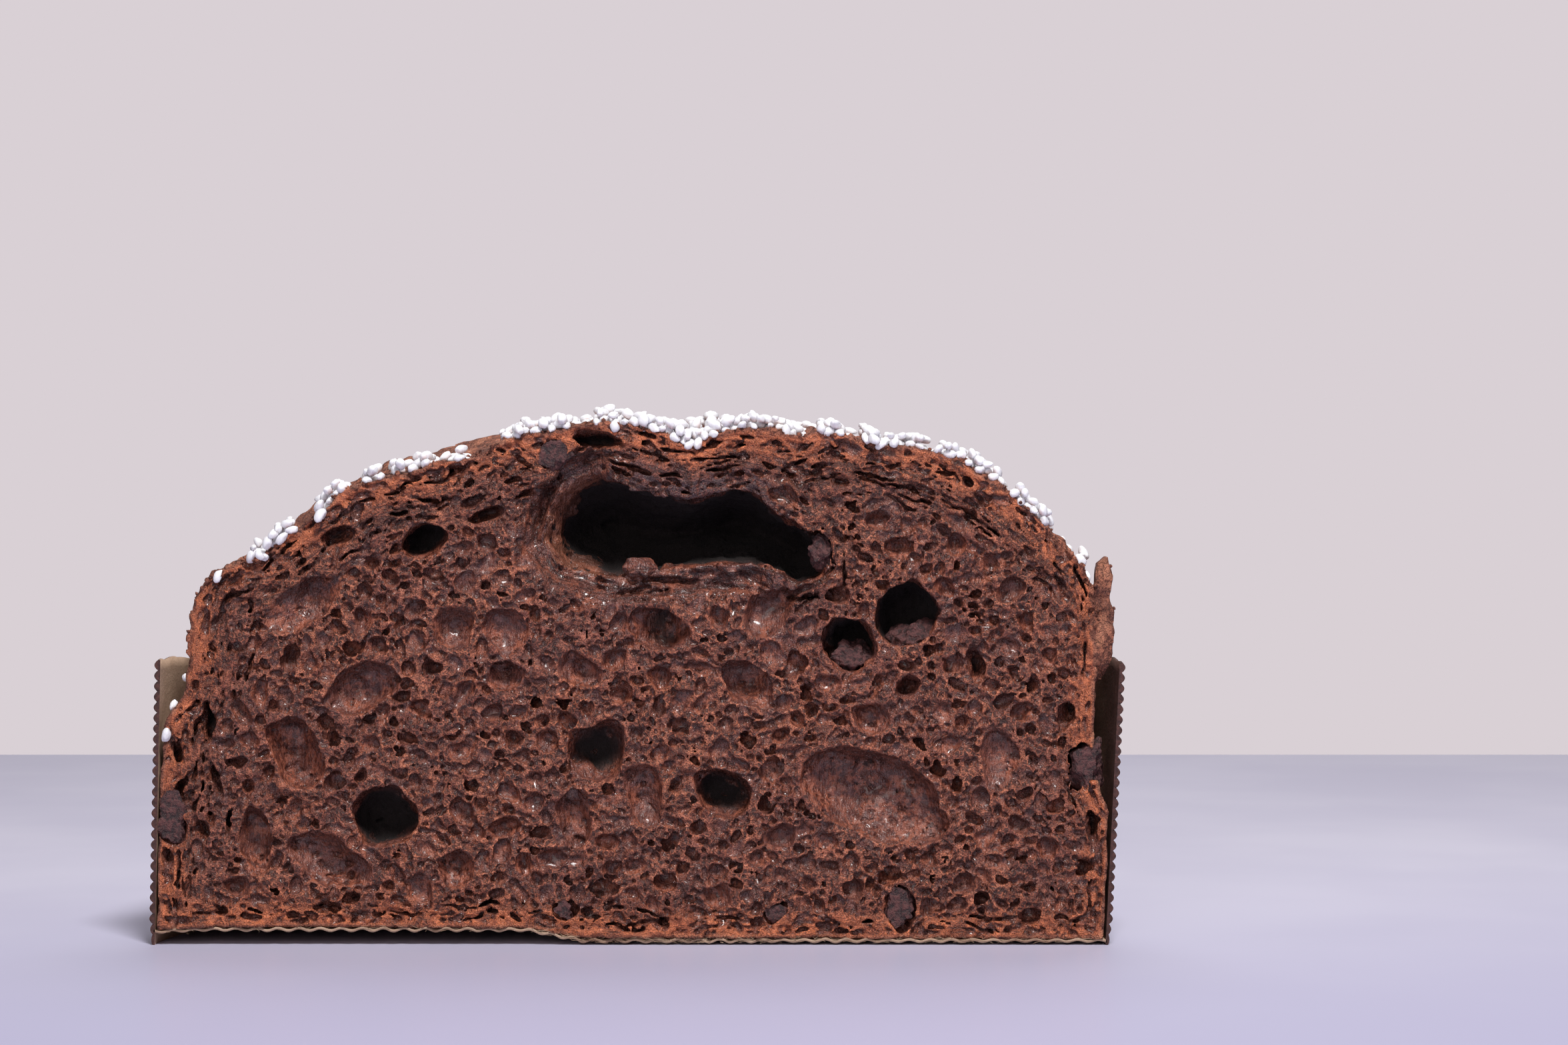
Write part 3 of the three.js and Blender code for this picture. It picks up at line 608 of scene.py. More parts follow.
def box_blur(field, reach):
    """Mean of a field over a cube of 2 * reach + 1 cells."""
    wide = 2 * reach + 1
    for axis in range(3):
        edge = [(reach + 1, reach) if k == axis else (0, 0) for k in range(3)]
        total = np.cumsum(np.pad(field, edge, mode="edge"), axis=axis, dtype=np.float64)
        count = field.shape[axis]
        upper = np.take(total, np.arange(wide, wide + count), axis=axis)
        lower = np.take(total, np.arange(count), axis=axis)
        field = ((upper - lower) / wide).astype(np.float32)
    return field


def soft_most(a, b, blend):
    """The greater of two fields, with the edge between them rounded."""
    share = np.clip(0.5 + 0.5 * (a - b) / blend, 0, 1)
    return mix(b, a, share) + blend * share * (1 - share)


CRUST_FREE = (CASE_HEIGHT - 14, CASE_HEIGHT + 2)  # heights where the crust comes free of the paper
HELD_RELIEF = (0.12, 0.4, 0.25)  # under the paper: share of the bumps at the foot and above, most
FREE_RELIEF = 3.0
FOOT_RELIEF = (3, 12)  # heights where the foot's share ends, and where the other begins


def crust_relief(axes, layers):
    """Bumps of the crust, slight where paper holds the cake and slightest at its foot."""
    z = axes[2][None, None, :]
    free = smooth(z, *CRUST_FREE)
    foot, above, most = HELD_RELIEF
    share = mix(foot + (above - foot) * smooth(z, *FOOT_RELIEF), 1, free)
    return np.minimum(layered(noise_grid, axes, layers) * share, mix(most, FREE_RELIEF, free))


def body_field():
    """Distance to the cake's smooth outer form, and the field of the body behind the slab."""
    axes = grid_axes(*BODY_CORNERS, BODY_VOXEL)
    outer = body_distance(axes, BODY_VOXEL, BAND)
    y = axes[1][None, :, None]
    set_back = BODY_SET_BACK * (1 - smooth(y, SLAB_BACK, SLAB_BACK + 2))
    skin = outer - crust_relief(axes, CRUST_LAYERS) + set_back
    return axes, outer, np.maximum(np.maximum(skin, BODY_FRONT - y), -hollow_field(axes))


HOLLOW_WALL = 2.0  # the crumb this near to the largest hollow counts as its wall
HOLLOW_SIZE = 8.0
# Kinds of hollows, with how much painted shade each gets deep inside, from -1 to 1
CELL_HOLES = ((DEEP_CELLS, 1.0), (SHALLOW_CELLS, -1.0), (SIDE_SLITS, 1.0))


def carve_known(foam, hollow):
    """The hollows that have a place of their own in the cut, and the pockets of the chocolate."""
    x, _, z = np.ix_(*foam.axes)
    wall = hollow < HOLLOW_WALL
    foam.gap = np.minimum(foam.gap, hollow).astype(np.float32)
    foam.size[wall] = HOLLOW_SIZE
    # The largest hollow's wall gets painted shade deep inside, least on its rolled lip.
    foam.hole = np.where(wall, 0.6 - 1.6 * hollow_lip(x, z), foam.hole).astype(np.float32)
    for cells, hole in CELL_HOLES:
        for cx, cz, half_x, half_z, depth, turn in cells:
            foam.carve((cx, 0, cz), (half_x, depth, half_z), math.radians(turn), hole)
    for cx, cy, cz, *half in CHUNKS:
        foam.carve((cx, cy, cz), [each + POCKET_ROOM for each in half], 0)


def floor_lump(axes):
    """Distance to the lump of crumb on the floor of the largest hollow."""
    places = zip(np.ix_(*axes), FLOOR_LUMP[:3], FLOOR_LUMP[3:])
    shares = [(here - middle) / half for here, middle, half in places]
    distance = (np.sqrt(sum(share**2 for share in shares)) - 1) * FLOOR_LUMP[4]
    return distance + layered(noise_grid, axes, LUMP_LAYERS)


def torn_sliver(axes, rough):
    """Distance to the sliver of crust beside the right shoulder."""
    x, y, z = np.ix_(*axes)
    outline = polygon_distance(SLIVER, x, z)
    torn = layered(noise_grid, axes, SLIVER_LAYERS)
    return np.maximum(outline - 0.5 * rough, np.abs(y - SLIVER_MIDDLE) - SLIVER_HALF_DEPTH + torn)


def slab_field(body_axes, body):
    """The field of the crumb near the cut, and the fields that shade it."""
    axes = grid_axes(*SLAB_CORNERS, SLAB_VOXEL)
    x, y, z = np.ix_(*axes)
    outer = resample(body, body_axes, BODY_VOXEL, axes)
    hollow = hollow_field(axes)
    foam = Foam(axes, SLAB_VOXEL)
    carve_known(foam, hollow)
    relief, layer, across = laminate(axes, outer)
    rough = (layered(noise_grid, (axes[0], np.zeros(1), axes[2]), CUT_LAYERS) + relief).astype(np.float32)
    fill_with_bubbles(foam, Flow(body, body_axes), rough[:, 0, :], outer[:, CUT_LAYER, :] < -1.0)
    dimple_walls(foam)

    skin = outer - crust_relief(axes, CRUST_LAYERS + CRUST_FINE_LAYERS)
    walls = foam.gap + layered(noise_grid, axes, WALL_LAYERS)
    lip = hollow_lip(x, z) * (1 - smooth(hollow, *LIP_REACH))
    rims = (np.clip(RIM_SHARE * foam.size, *RIM_ROUNDING) + LIP_ROUNDING * lip).astype(np.float32)
    crumb = np.minimum(soft_most(rough - y, -walls, rims), floor_lump(axes))
    crumb = np.maximum(skin, crumb).astype(np.float32)
    sliver = torn_sliver(axes, rough)
    slab = np.maximum(np.minimum(crumb, sliver), y - SLAB_BACK).astype(np.float32)
    # How convex the surface is, which sets the painted light and shade of the torn crumb
    ridge = box_blur(np.clip(slab, -RIDGE_REACH, RIDGE_REACH), RIDGE_CELLS)
    return axes, slab, {
        "depth": y - rough, "size": foam.size, "skin": -np.minimum(skin, sliver), "inside": -outer,
        "ridge": ridge, "roof": hollow, "hole": foam.hole, "layer": layer, "across": across,
    }


def surface(axes, field, voxel, adaptivity):
    """Points, triangles and quads of the surface where a field is 0."""
    edge = 2.5 * voxel
    grid = openvdb.FloatGrid(edge)
    grid.copyFromArray(np.clip(field, -edge, edge).astype(np.float32), tolerance=1e-4)
    grid.gridClass = openvdb.GridClass.LEVEL_SET
    grid.transform = openvdb.createLinearTransform(voxel)
    points, triangles, quads = grid.convertToPolygons(0.0, adaptivity)
    origin = np.array([a[0] for a in axes])
    return points + origin, triangles.astype(np.int64), quads.astype(np.int64)


def largest_part(points, triangles, quads):
    """Drop sealed cavities and loose scraps."""
    edges = [faces[:, [k, k + 1]] for faces in (triangles, quads) for k in range(faces.shape[1] - 1)]
    a, b = np.vstack(edges).T
    label = np.arange(len(points))
    while True:
        least = np.minimum(label[a], label[b])
        before = label.copy()
        np.minimum.at(label, a, least)
        np.minimum.at(label, b, least)
        label = label[label]
        if np.array_equal(before, label):
            break
    keep = label == np.argmax(np.bincount(label))
    new = np.cumsum(keep) - 1
    return points[keep], new[triangles[keep[triangles[:, 0]]]], new[quads[keep[quads[:, 0]]]]


def nearest_values(field, axes, voxel, points):
    index = [
        np.clip(np.round((points[:, k] - axes[k][0]) / voxel).astype(int), 0, field.shape[k] - 1)
        for k in range(3)
    ]
    return np.broadcast_to(field, [len(a) for a in axes])[tuple(index)]


# ---- Meshes ----

def to_frame(points):
    return (np.asarray(points, float) + [MIDDLE_X, CUT_Y, 0]) * MM


def make_piece(name, points, faces, material, attributes=None, replaces=None, normals=None):
    """An object from points in millimetres and arrays of triangles or quads."""
    mesh = bpy.data.meshes.new(name)
    mesh.vertices.add(len(points))
    mesh.vertices.foreach_set("co", to_frame(points).astype(np.float32).ravel())
    corners = np.concatenate([f.ravel() for f in faces])
    sizes = np.concatenate([np.full(len(f), f.shape[1]) for f in faces])
    mesh.loops.add(len(corners))
    mesh.loops.foreach_set("vertex_index", corners.astype(np.int32))
    mesh.polygons.add(len(sizes))
    mesh.polygons.foreach_set("loop_start", (np.cumsum(sizes) - sizes).astype(np.int32))
    mesh.update(calc_edges=True)
    mesh.validate()
    mesh.shade_smooth()
    for key, values in (attributes or {}).items():
        attribute = mesh.attributes.new(key, "FLOAT", "POINT")
        attribute.data.foreach_set("value", np.asarray(values, np.float32))
    if normals is not None:
        mesh.normals_split_custom_set_from_vertices(normals)
    mesh.materials.append(material)
    piece = bpy.data.objects.new(name, mesh)
    bpy.context.scene.collection.objects.link(piece)
    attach(piece, "root")
    if replaces:
        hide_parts(replaces)
    return piece


def used_points(faces):
    """Which points some arrays of faces use, and the faces with those points numbered anew."""
    used = np.unique(np.concatenate([f.ravel() for f in faces]))
    new = np.zeros(used[-1] + 1, int)
    new[used] = np.arange(len(used))
    return used, [new[f] for f in faces]


def facing_out(points, triangles, quads):
    """Faces in the order that makes the enclosed volume positive."""
    split = np.vstack([triangles, quads[:, [0, 1, 2]], quads[:, [0, 2, 3]]])
    p, q, r = (points[split[:, k]] for k in range(3))
    if np.einsum("ij,ij->i", p, np.cross(q, r)).sum() < 0:
        return triangles[:, ::-1], quads[:, ::-1]
    return triangles, quads


def vertex_normals(points, triangles, quads):
    normals = np.zeros(points.shape)
    for faces in (triangles, quads):
        corner = [points[faces[:, k]] for k in range(faces.shape[1])]
        turned = np.cross(corner[1] - corner[0], corner[2] - corner[0])
        if faces.shape[1] == 4:
            turned += np.cross(corner[2] - corner[0], corner[3] - corner[0])
        for k in range(faces.shape[1]):
            for axis in range(3):
                normals[:, axis] += np.bincount(faces[:, k], turned[:, axis], len(points))
    return normals / np.maximum(np.linalg.norm(normals, axis=1), 1e-9)[:, None]


# ---- Materials ----

class Shading:
    """A procedural material that is put together node by node."""

    def __init__(self, name, **fixed):
        self.material = bpy.data.materials.new(name)
        self.material.use_nodes = True
        self.tree = self.material.node_tree
        self.surface = self.tree.nodes["Principled BSDF"]
        self.place = self.add("ShaderNodeTexCoord").outputs["Object"]
        for socket, value in fixed.items():
            self.surface.inputs[socket.replace("_", " ")].default_value = value

    def add(self, kind, inputs=None, **settings):
        """A node with these settings, and with its inputs linked or set."""
        node = self.tree.nodes.new(kind)
        for key, value in settings.items():
            setattr(node, key, value)
        for key, value in (inputs or {}).items():
            if isinstance(value, bpy.types.NodeSocket):
                self.tree.links.new(value, node.inputs[key])
            else:
                node.inputs[key].default_value = value
        return node

    def set(self, **sockets):
        """Link the surface's inputs, which finishes the material."""
        for key, socket in sockets.items():
            self.tree.links.new(socket, self.surface.inputs[key.replace("_", " ")])
        return self.material

    def attribute(self, name):
        return self.add("ShaderNodeAttribute", attribute_name=name).outputs["Fac"]

    def parts(self, vector):
        return self.add("ShaderNodeSeparateXYZ", {0: vector}).outputs

    def noise(self, size, detail=2.0, rough=0.5, stretch=None, place=None):
        """Noise from 0 to 1 with bumps of a size in millimetres."""
        place = place or self.place
        if stretch:
            place = self.add("ShaderNodeMapping", {"Vector": place, "Scale": stretch}).outputs[0]
        inputs = {"Vector": place, "Scale": 1 / (size * MM), "Detail": detail, "Roughness": rough}
        return self.add("ShaderNodeTexNoise", inputs).outputs["Fac"]

    def edges(self, size):
        """Distance to the edges of random cells of a size in millimetres."""
        inputs = {"Vector": self.place, "Scale": 1 / (size * MM)}
        return self.add("ShaderNodeTexVoronoi", inputs, feature="DISTANCE_TO_EDGE").outputs["Distance"]

    def math(self, operation, a, b=0.0, c=0.0, clamp=False):
        node = self.add("ShaderNodeMath", {0: a, 1: b, 2: c}, operation=operation, use_clamp=clamp)
        return node.outputs[0]

    def times(self, a, b):
        return self.math("MULTIPLY", a, b)

    def most(self, a, b):
        return self.math("MAXIMUM", a, b)

    def without(self, share, most=1.0):
        """1 where a share is 0, and less by this much where it is 1."""
        return self.math("MULTIPLY_ADD", share, -most, 1.0)

    def ramp(self, value, low, high, first=0.0, last=1.0):
        inputs = {"Value": value, "From Min": low, "From Max": high, "To Min": first, "To Max": last}
        return self.add("ShaderNodeMapRange", inputs, interpolation_type="SMOOTHSTEP").outputs[0]

    def blend(self, share, *colours):
        """The first colour, with a share of the second."""
        a, b = [c if isinstance(c, bpy.types.NodeSocket) else (*c, 1) for c in colours]
        return self.add("ShaderNodeMix", {0: share, 6: a, 7: b}, data_type="RGBA").outputs[2]

    def tint(self, a, b, value, low, high, share=1.0):
        """The first colour where a value is low, up to a share of the second where it is high."""
        return self.blend(self.ramp(value, low, high, 0, share), a, b)

    def bump(self, height, depth, strength=1.0, under=None):
        inputs = {"Height": height, "Distance": depth * MM, "Strength": strength}
        if under:
            inputs["Normal"] = under
        return self.add("ShaderNodeBump", inputs).outputs[0]


def srgb(red, green, blue):
    """Linear colour of an sRGB one with values up to 255."""
    values = np.array([red, green, blue]) / 255
    return tuple(np.where(values <= 0.04045, values / 12.92, ((values + 0.055) / 1.055) ** 2.4))


RIM = srgb(128, 66, 48), srgb(204, 122, 90)  # torn rims between the cells, in dark and light spots
RIM_DULL = srgb(134, 76, 66)
RIM_TOASTED = srgb(190, 100, 58)
RIM_AT_CRUST = srgb(224, 126, 82)
# Painted shade: the crumb between the rims is darker than the rims.
GAP_PAINTED_SHADE = srgb(50, 23, 19), srgb(98, 50, 39)  # between the rims
GAP_SHADE_AT_CRUST = srgb(158, 80, 52)
PIT_PAINTED_SHADE = srgb(46, 20, 16)
ASH = srgb(70, 52, 58)
WALL = srgb(88, 46, 37), srgb(158, 92, 71)  # of the cells
WALL_DULL = srgb(104, 68, 63)
WALL_THREAD_SHADE = srgb(46, 22, 18)
OVERHANG_PAINTED_SHADE = srgb(44, 22, 18)
LIP = srgb(138, 88, 68)
DEEP_PAINTED_SHADE = srgb(24, 13, 11)
CRUST = srgb(98, 54, 41), srgb(176, 108, 82)
CRUST_DULL = srgb(88, 50, 42)
CRUST_PALE = srgb(196, 130, 100)
CRUST_CRACK = srgb(70, 38, 31)


class CakeShading(Shading):
    """Crumb and crust, shaded by the fields that their meshes carry."""

    def __init__(self):
        super().__init__("baked_cocoa_crumb", Specular_IOR_Level=0.5, Coat_Roughness=0.12)
        depth, hole, inside = [self.attribute(key) for key in ("depth", "hole", "inside")]
        self.roof = self.attribute("roof")
        self.crust = self.ramp(self.attribute("skin"), 0.25, 1.1, 1, 0)
        crumb = self.without(self.crust)
        self.toast = self.ramp(inside, 1.0, 11.0, 1, 0)
        self.rind = self.times(self.ramp(inside, 2.0, 7.0, 1, 0), self.ramp(self.noise(5), 0.3, 0.5))
        self.cell = self.times(self.ramp(depth, 0.1, 0.7), crumb)
        self.large = self.times(self.cell, self.ramp(self.attribute("size"), 0.9, 2.4))
        self.lip = self.times(self.ramp(hole, -0.1, -0.8), self.ramp(self.roof, 1.0, 3.0, 1, 0))
        # Painted shade deep in the holes: it begins sooner where the hole value is high and is weaker on
        # the rolled lip.
        deep = self.ramp(self.math("MULTIPLY_ADD", hole, 2.5, depth), 5.5, 10.0)
        self.deep = self.times(self.math("MULTIPLY_ADD", self.lip, -0.5, deep, clamp=True), crumb)
        self.layer = self.times(self.attribute("layer"), crumb)
        self.threads = self.layer_threads()
        # Painted shade in the grooves between the threads.
        self.thread_groove_shade = self.times(self.ramp(self.threads, 0.4, 0.5, 1, 0), self.layer)
        self.mottle = self.noise(1.3, 3, 0.65)
        self.pits = self.fine_pores()
        self.cracks = self.ramp(self.edges(3.4), 0.0, 0.1)

    def fine_pores(self):
        """Pores too small for the mesh, as bumps and as painted shade: dark pits between bright rims, few
        in the large cells.
        """
        coarse = self.ramp(self.edges(1.0), 0.08, 0.24)
        fine = self.ramp(self.edges(0.5), 0.08, 0.26)
        pits = self.most(self.times(coarse, self.ramp(self.noise(3.0), 0.4, 0.52)), self.times(fine, 0.7))
        return self.times(pits, self.without(self.large, 0.9))

    def layer_threads(self):
        """Noise that is drawn out along the layers."""
        x, _, z = self.parts(self.place)
        across = self.times(self.attribute("across"), MM)
        along = {"X": self.times(x, 0.09), "Y": self.times(z, 0.09), "Z": across}
        return self.noise(0.6, 2, 0.6, place=self.add("ShaderNodeCombineXYZ", along).outputs[0])

    def torn_colour(self):
        """Crumb that the cut tore open, paler at the crust and ashen over the largest hollow, with
        painted light on its ridges and painted shade in its hollows and pores.
        """
        rim = self.tint(*RIM, self.mottle, 0.4, 0.6)
        rim = self.tint(rim, RIM_DULL, self.noise(19), 0.38, 0.66, 0.5)
        rim = self.blend(self.times(self.toast, 0.5), rim, RIM_TOASTED)
        rim = self.blend(self.times(self.rind, 0.85), rim, RIM_AT_CRUST)
        gap = self.tint(*GAP_PAINTED_SHADE, self.mottle, 0.4, 0.6)
        gap = self.blend(self.times(self.rind, 0.8), gap, GAP_SHADE_AT_CRUST)
        # Painted light on the ridges and painted shade in the hollows between them, by how convex the mesh
        # is there.
        torn = self.tint(gap, rim, self.attribute("ridge"), -0.14, 0.24)
        # Painted shade in the fine pores and in the grooves between the threads, weaker at the crust.
        dark = self.times(self.most(self.pits, self.thread_groove_shade), self.without(self.rind, 0.55))
        torn = self.blend(self.times(dark, 0.85), torn, PIT_PAINTED_SHADE)
        not_right = self.ramp(self.parts(self.place)[0], 0.028, 0.034, 1, 0)
        ash = self.times(self.ramp(self.roof, 3.0, 7.0, 0.75, 0), not_right)
        return self.blend(self.times(ash, self.ramp(self.mottle, 0.35, 0.55)), torn, ASH)

    def wall_colour(self):
        wall = self.tint(*WALL, self.mottle, 0.4, 0.6)
        wall = self.tint(wall, WALL_DULL, self.noise(6), 0.42, 0.6, 0.6)
        # Painted shade in the grooves between the threads.
        return self.blend(self.times(self.thread_groove_shade, 0.7), wall, WALL_THREAD_SHADE)

    def crust_colour(self):
        crust = self.tint(*CRUST, self.mottle, 0.36, 0.64)
        crust = self.tint(crust, CRUST_DULL, self.noise(11, 3), 0.4, 0.62, 0.6)
        crust = self.tint(crust, CRUST_PALE, self.noise(5), 0.56, 0.66, 0.6)
        return self.blend(self.ramp(self.cracks, 0, 1, 0.3, 0), crust, CRUST_CRACK)

    def colour(self):
        colour = self.blend(self.times(self.cell, 0.85), self.torn_colour(), self.wall_colour())
        # Painted shade on the walls of the cells that face down.
        rise = self.parts(self.add("ShaderNodeNewGeometry").outputs["Normal"])[2]
        colour = self.blend(self.times(self.ramp(rise, 0.1, -0.6, 0, 0.6), self.cell), colour, OVERHANG_PAINTED_SHADE)
        colour = self.blend(self.times(self.lip, 0.5), colour, LIP)
        # Painted shade deep in the holes.
        colour = self.blend(self.deep, colour, DEEP_PAINTED_SHADE)
        return self.blend(self.crust, colour, self.crust_colour())

    def roughness(self):
        """Smoother on the walls of the cells, with still smoother spots, and matte on the crust."""
        matte = self.math("MULTIPLY_ADD", self.cell, -0.26, 0.58)
        matte = self.math("SUBTRACT", matte, self.ramp(self.noise(0.8, 2, 0.6), 0.5, 0.6, 0, 0.22))
        matte = self.math("MULTIPLY_ADD", self.crust, 0.28, matte)
        return self.most(matte, self.times(self.deep, 0.9))

    def moisture(self):
        """Moist patches on the walls of the cells, but not on the rolled lip or where the holes get painted
        shade.
        """
        moist = self.times(self.cell, self.ramp(self.noise(2.0), 0.42, 0.58, 0.06, 0.34))
        return self.times(moist, self.without(self.most(self.lip, self.deep)))

    def relief(self):
        relief = self.bump(self.noise(1.2, 3, 0.6), 0.5)
        relief = self.bump(self.noise(1.6, 2, 0.6, stretch=(2.0, 1.0, 0.6)), 0.6, self.large, relief)
        relief = self.bump(self.threads, 0.45, self.layer, relief)
        relief = self.bump(self.without(self.pits), 0.3, under=relief)
        relief = self.bump(self.noise(0.36, 2, 0.65), 0.22, under=relief)
        return self.bump(self.cracks, 0.4, self.times(self.crust, 0.5), relief)


def cake_material():
    shade = CakeShading()
    looks = {"Base_Color": shade.colour(), "Roughness": shade.roughness(), "Coat_Weight": shade.moisture()}
    return shade.set(**looks, Normal=shade.relief())


def paper_material():
    """Brown ribs outside, and inside a tan liner with stains."""
    shade = Shading("baking_paper", Specular_IOR_Level=0.35)
    fibres = shade.noise(0.9, 4, 0.7)
    brown = shade.tint(srgb(54, 32, 30), srgb(88, 54, 48), fibres, 0.35, 0.7)
    tan = shade.tint(srgb(184, 154, 130), srgb(132, 98, 78), shade.noise(13, 3, 0.6), 0.42, 0.7, 0.8)
    colour = shade.blend(shade.attribute("inner"), brown, tan)
    matte = shade.ramp(fibres, 0.3, 0.7, 0.5, 0.7)
    return shade.set(Base_Color=colour, Roughness=matte, Normal=shade.bump(fibres, 0.15))


def sugar_material():
    """White, and stained in patches where a pearl is sunk into the crust."""
    shade = Shading("pearl_sugar", Roughness=0.5, Subsurface_Weight=0.6, Subsurface_Scale=0.0016)
    shade.surface.inputs["Subsurface Radius"].default_value = (1.0, 0.95, 0.9)
    stain = shade.times(shade.attribute("sunk"), shade.ramp(shade.noise(2.4), 0.4, 0.6))
    colour = shade.blend(shade.times(stain, 0.5), srgb(228, 226, 230), srgb(196, 140, 112))
    return shade.set(Base_Color=colour, Normal=shade.bump(shade.noise(0.5, 3), 0.12))


def chocolate_material():
    shade = Shading("dark_chocolate", Specular_IOR_Level=0.5)
    broken = shade.noise(1.1, 4, 0.7)
    colour = shade.tint(srgb(44, 24, 25), srgb(98, 58, 56), broken, 0.38, 0.62)
    matte = shade.ramp(broken, 0.3, 0.7, 0.4, 0.7)
    return shade.set(Base_Color=colour, Roughness=matte, Normal=shade.bump(broken, 1.0))


# ---- Cake pieces ----

SLAB_ADAPTIVITY = 0.4
BODY_ADAPTIVITY = 0.02
PIECE_LIMIT = 190_000  # triangles in one piece
HOLLOW_MARGIN = 5.0
CRUST_SKIN = 0.3  # points of the slab this near to the skin lie on the crust
BODY_HOLLOW = {"size": HOLLOW_SIZE, "skin": 5.0, "inside": 9.0, "hole": 1.0}  # fields in its hollow


def cake_surface(axes, field, voxel, adaptivity):
    """Points, triangles, quads and normals of the largest part of a surface."""
    points, triangles, quads = largest_part(*surface(axes, field, voxel, adaptivity))
    triangles, quads = facing_out(points, triangles, quads)
    return points, triangles, quads, vertex_normals(points, triangles, quads)


def crumb_pieces(axes, field, fields, material):
    """The crumb near the cut, split across into pieces that share their normals at the splits."""
    points, triangles, quads, normals = cake_surface(axes, field, SLAB_VOXEL, SLAB_ADAPTIVITY)
    values = {key: nearest_values(each, axes, SLAB_VOXEL, points) for key, each in fields.items()}
    count = math.ceil((len(triangles) + 2 * len(quads)) / PIECE_LIMIT)
    middles = np.concatenate([points[f, 0].mean(axis=1) for f in (triangles, quads)])
    weights = np.concatenate([np.ones(len(triangles)), np.full(len(quads), 2)])
    order = np.argsort(middles)
    rank = np.empty(len(order))
    rank[order] = np.cumsum(weights[order])
    owner = np.minimum((rank * count / weights.sum()).astype(int), count - 1)
    for number in range(count):
        mine = owner == number
        faces = [triangles[mine[:len(triangles)]], quads[mine[len(triangles):]]]
        used, faces = used_points(faces)
        here = {key: value[used] for key, value in values.items()}
        name = f"cake_crumb_{number + 1}"
        make_piece(name, points[used], faces, material, here, "cake", normals[used])
    on_crust = values["skin"] < CRUST_SKIN
    return points[on_crust], normals[on_crust]


def crust_piece(axes, field, material):
    """The rest of the cake, with its crust."""
    points, triangles, quads, normals = cake_surface(axes, field, BODY_VOXEL, BODY_ADAPTIVITY)
    roof = great_hollow_distance(*points.T)
    hollow = roof < HOLLOW_MARGIN
    values = {key: value * hollow for key, value in BODY_HOLLOW.items()}
    values |= {key: np.zeros(len(points)) for key in ("ridge", "layer", "across")}
    values |= {"depth": points[:, 1] * hollow, "roof": roof}
    make_piece("cake_crust", points, [triangles, quads], material, values, "cake")
    on_crust = points[:, 1] > SLAB_BACK
    return points[on_crust], normals[on_crust]


# ---- Paper case ----

CASE_STEP = 1.8  # between sections of the wall
LINER_ROWS = 31
RIB_POINTS = 8
RIM_LAYERS = [(0.5, 9, 61), (0.28, 2.1, 62)]
WALL_BEND = [(0.3, 15, 63), (0.12, 4, 64)]
RIM_NOISE_Z = 0.5
SHADE_AT_RIGHT = (90, 99)  # x where the liner's shaded end begins, and where it is darkest
SHADE_BACK = (8, 30)  # y where that shade begins to fade, and where it ends
SHEET_THICKNESS = 0.55
SHEET_MIDDLE = 0.92
SHEET_WAVE = (0.5, 4.45)  # height and length of the base's waves
SHEET_STEP = (0.6, 2.4)
SHEET_REACH = 0.3
SHEET_SHARE = 0.8  # how far the base has the liner's colour


def wall_section():
    """Distances out from the liner with shares of the height, and which points are the liner."""
    up = np.linspace(0, 1, LINER_ROWS)
    down = np.linspace(1, 0, RIB_COUNT * RIB_POINTS + 1)
    rib = np.ceil(down * RIB_COUNT)
    crushed = np.where(rib <= FOOT_RIBS, rib / (FOOT_RIBS + 1), 1)
    wave = np.abs(np.sin(math.pi * RIB_COUNT * down)) ** 0.9 * crushed
    out = np.concatenate([np.zeros(LINER_ROWS), mix(RIB_VALLEY, RIB_CREST, wave)])
    return out, np.concatenate([up, down]), np.arange(len(out)) < LINER_ROWS


def wall_ring(along, side, out, share):
    inner_x, inner_y = plan(along, 0)
    where = np.array([[side * inner_x, inner_y, RIM_NOISE_Z]])
    height = CASE_HEIGHT + layered(noise_at, where, RIM_LAYERS)[0]
    spots = np.repeat(where, len(share), axis=0)
    spots[:, 2] = share * height
    bend = layered(noise_at, spots, WALL_BEND) * smooth(inner_y, 0, 4)
    x, y = plan(along, -out - bend)
    return np.column_stack([side * x + lean(side * x, spots[:, 2]), y, spots[:, 2]])


def wall_cap(first, share, flip):
    """Triangles that close the wall's section at the cut."""
    faces = []
    last_inner = LINER_ROWS - 1
    for outer in range(LINER_ROWS, len(share) - 1):
        inner = int(round(share[outer + 1] * (LINER_ROWS - 1)))
        faces.append((outer, outer + 1, last_inner))
        if inner != last_inner:
            faces.append((outer + 1, inner, last_inner))
            last_inner = inner
    faces = first + np.array(faces)
    return faces[:, ::-1] if flip else faces


def case_wall():
    out, share, liner = wall_section()
    steps = np.linspace(0, OUTLINE, int(OUTLINE / CASE_STEP))
    rings = [wall_ring(along, 1, out, share) for along in steps]
    rings += [wall_ring(along, -1, out, share) for along in steps[-2::-1]]
    size = len(share)
    points = np.vstack([*rings, rings[0], rings[-1]])  # the cut ends have points of their own
    last = len(rings) * size
    caps = np.vstack([wall_cap(last, share, False), wall_cap(last + size, share, True)])
    inner = np.concatenate([np.tile(liner, len(rings)), np.zeros(2 * size)])
    shaded = smooth(points[:, 0], *SHADE_AT_RIGHT) * (1 - smooth(points[:, 1], *SHADE_BACK))
    return points, caps, strip_quads(len(rings), size), inner * (1 - 0.9 * shaded)


def open_edges(quads):
    """Edges that only one of the quads has."""
    edges = np.vstack([quads[:, [k, (k + 1) % 4]] for k in range(4)])
    _, index, times = np.unique(np.sort(edges, axis=1), axis=0, return_index=True, return_counts=True)
    return edges[index[times == 1]]


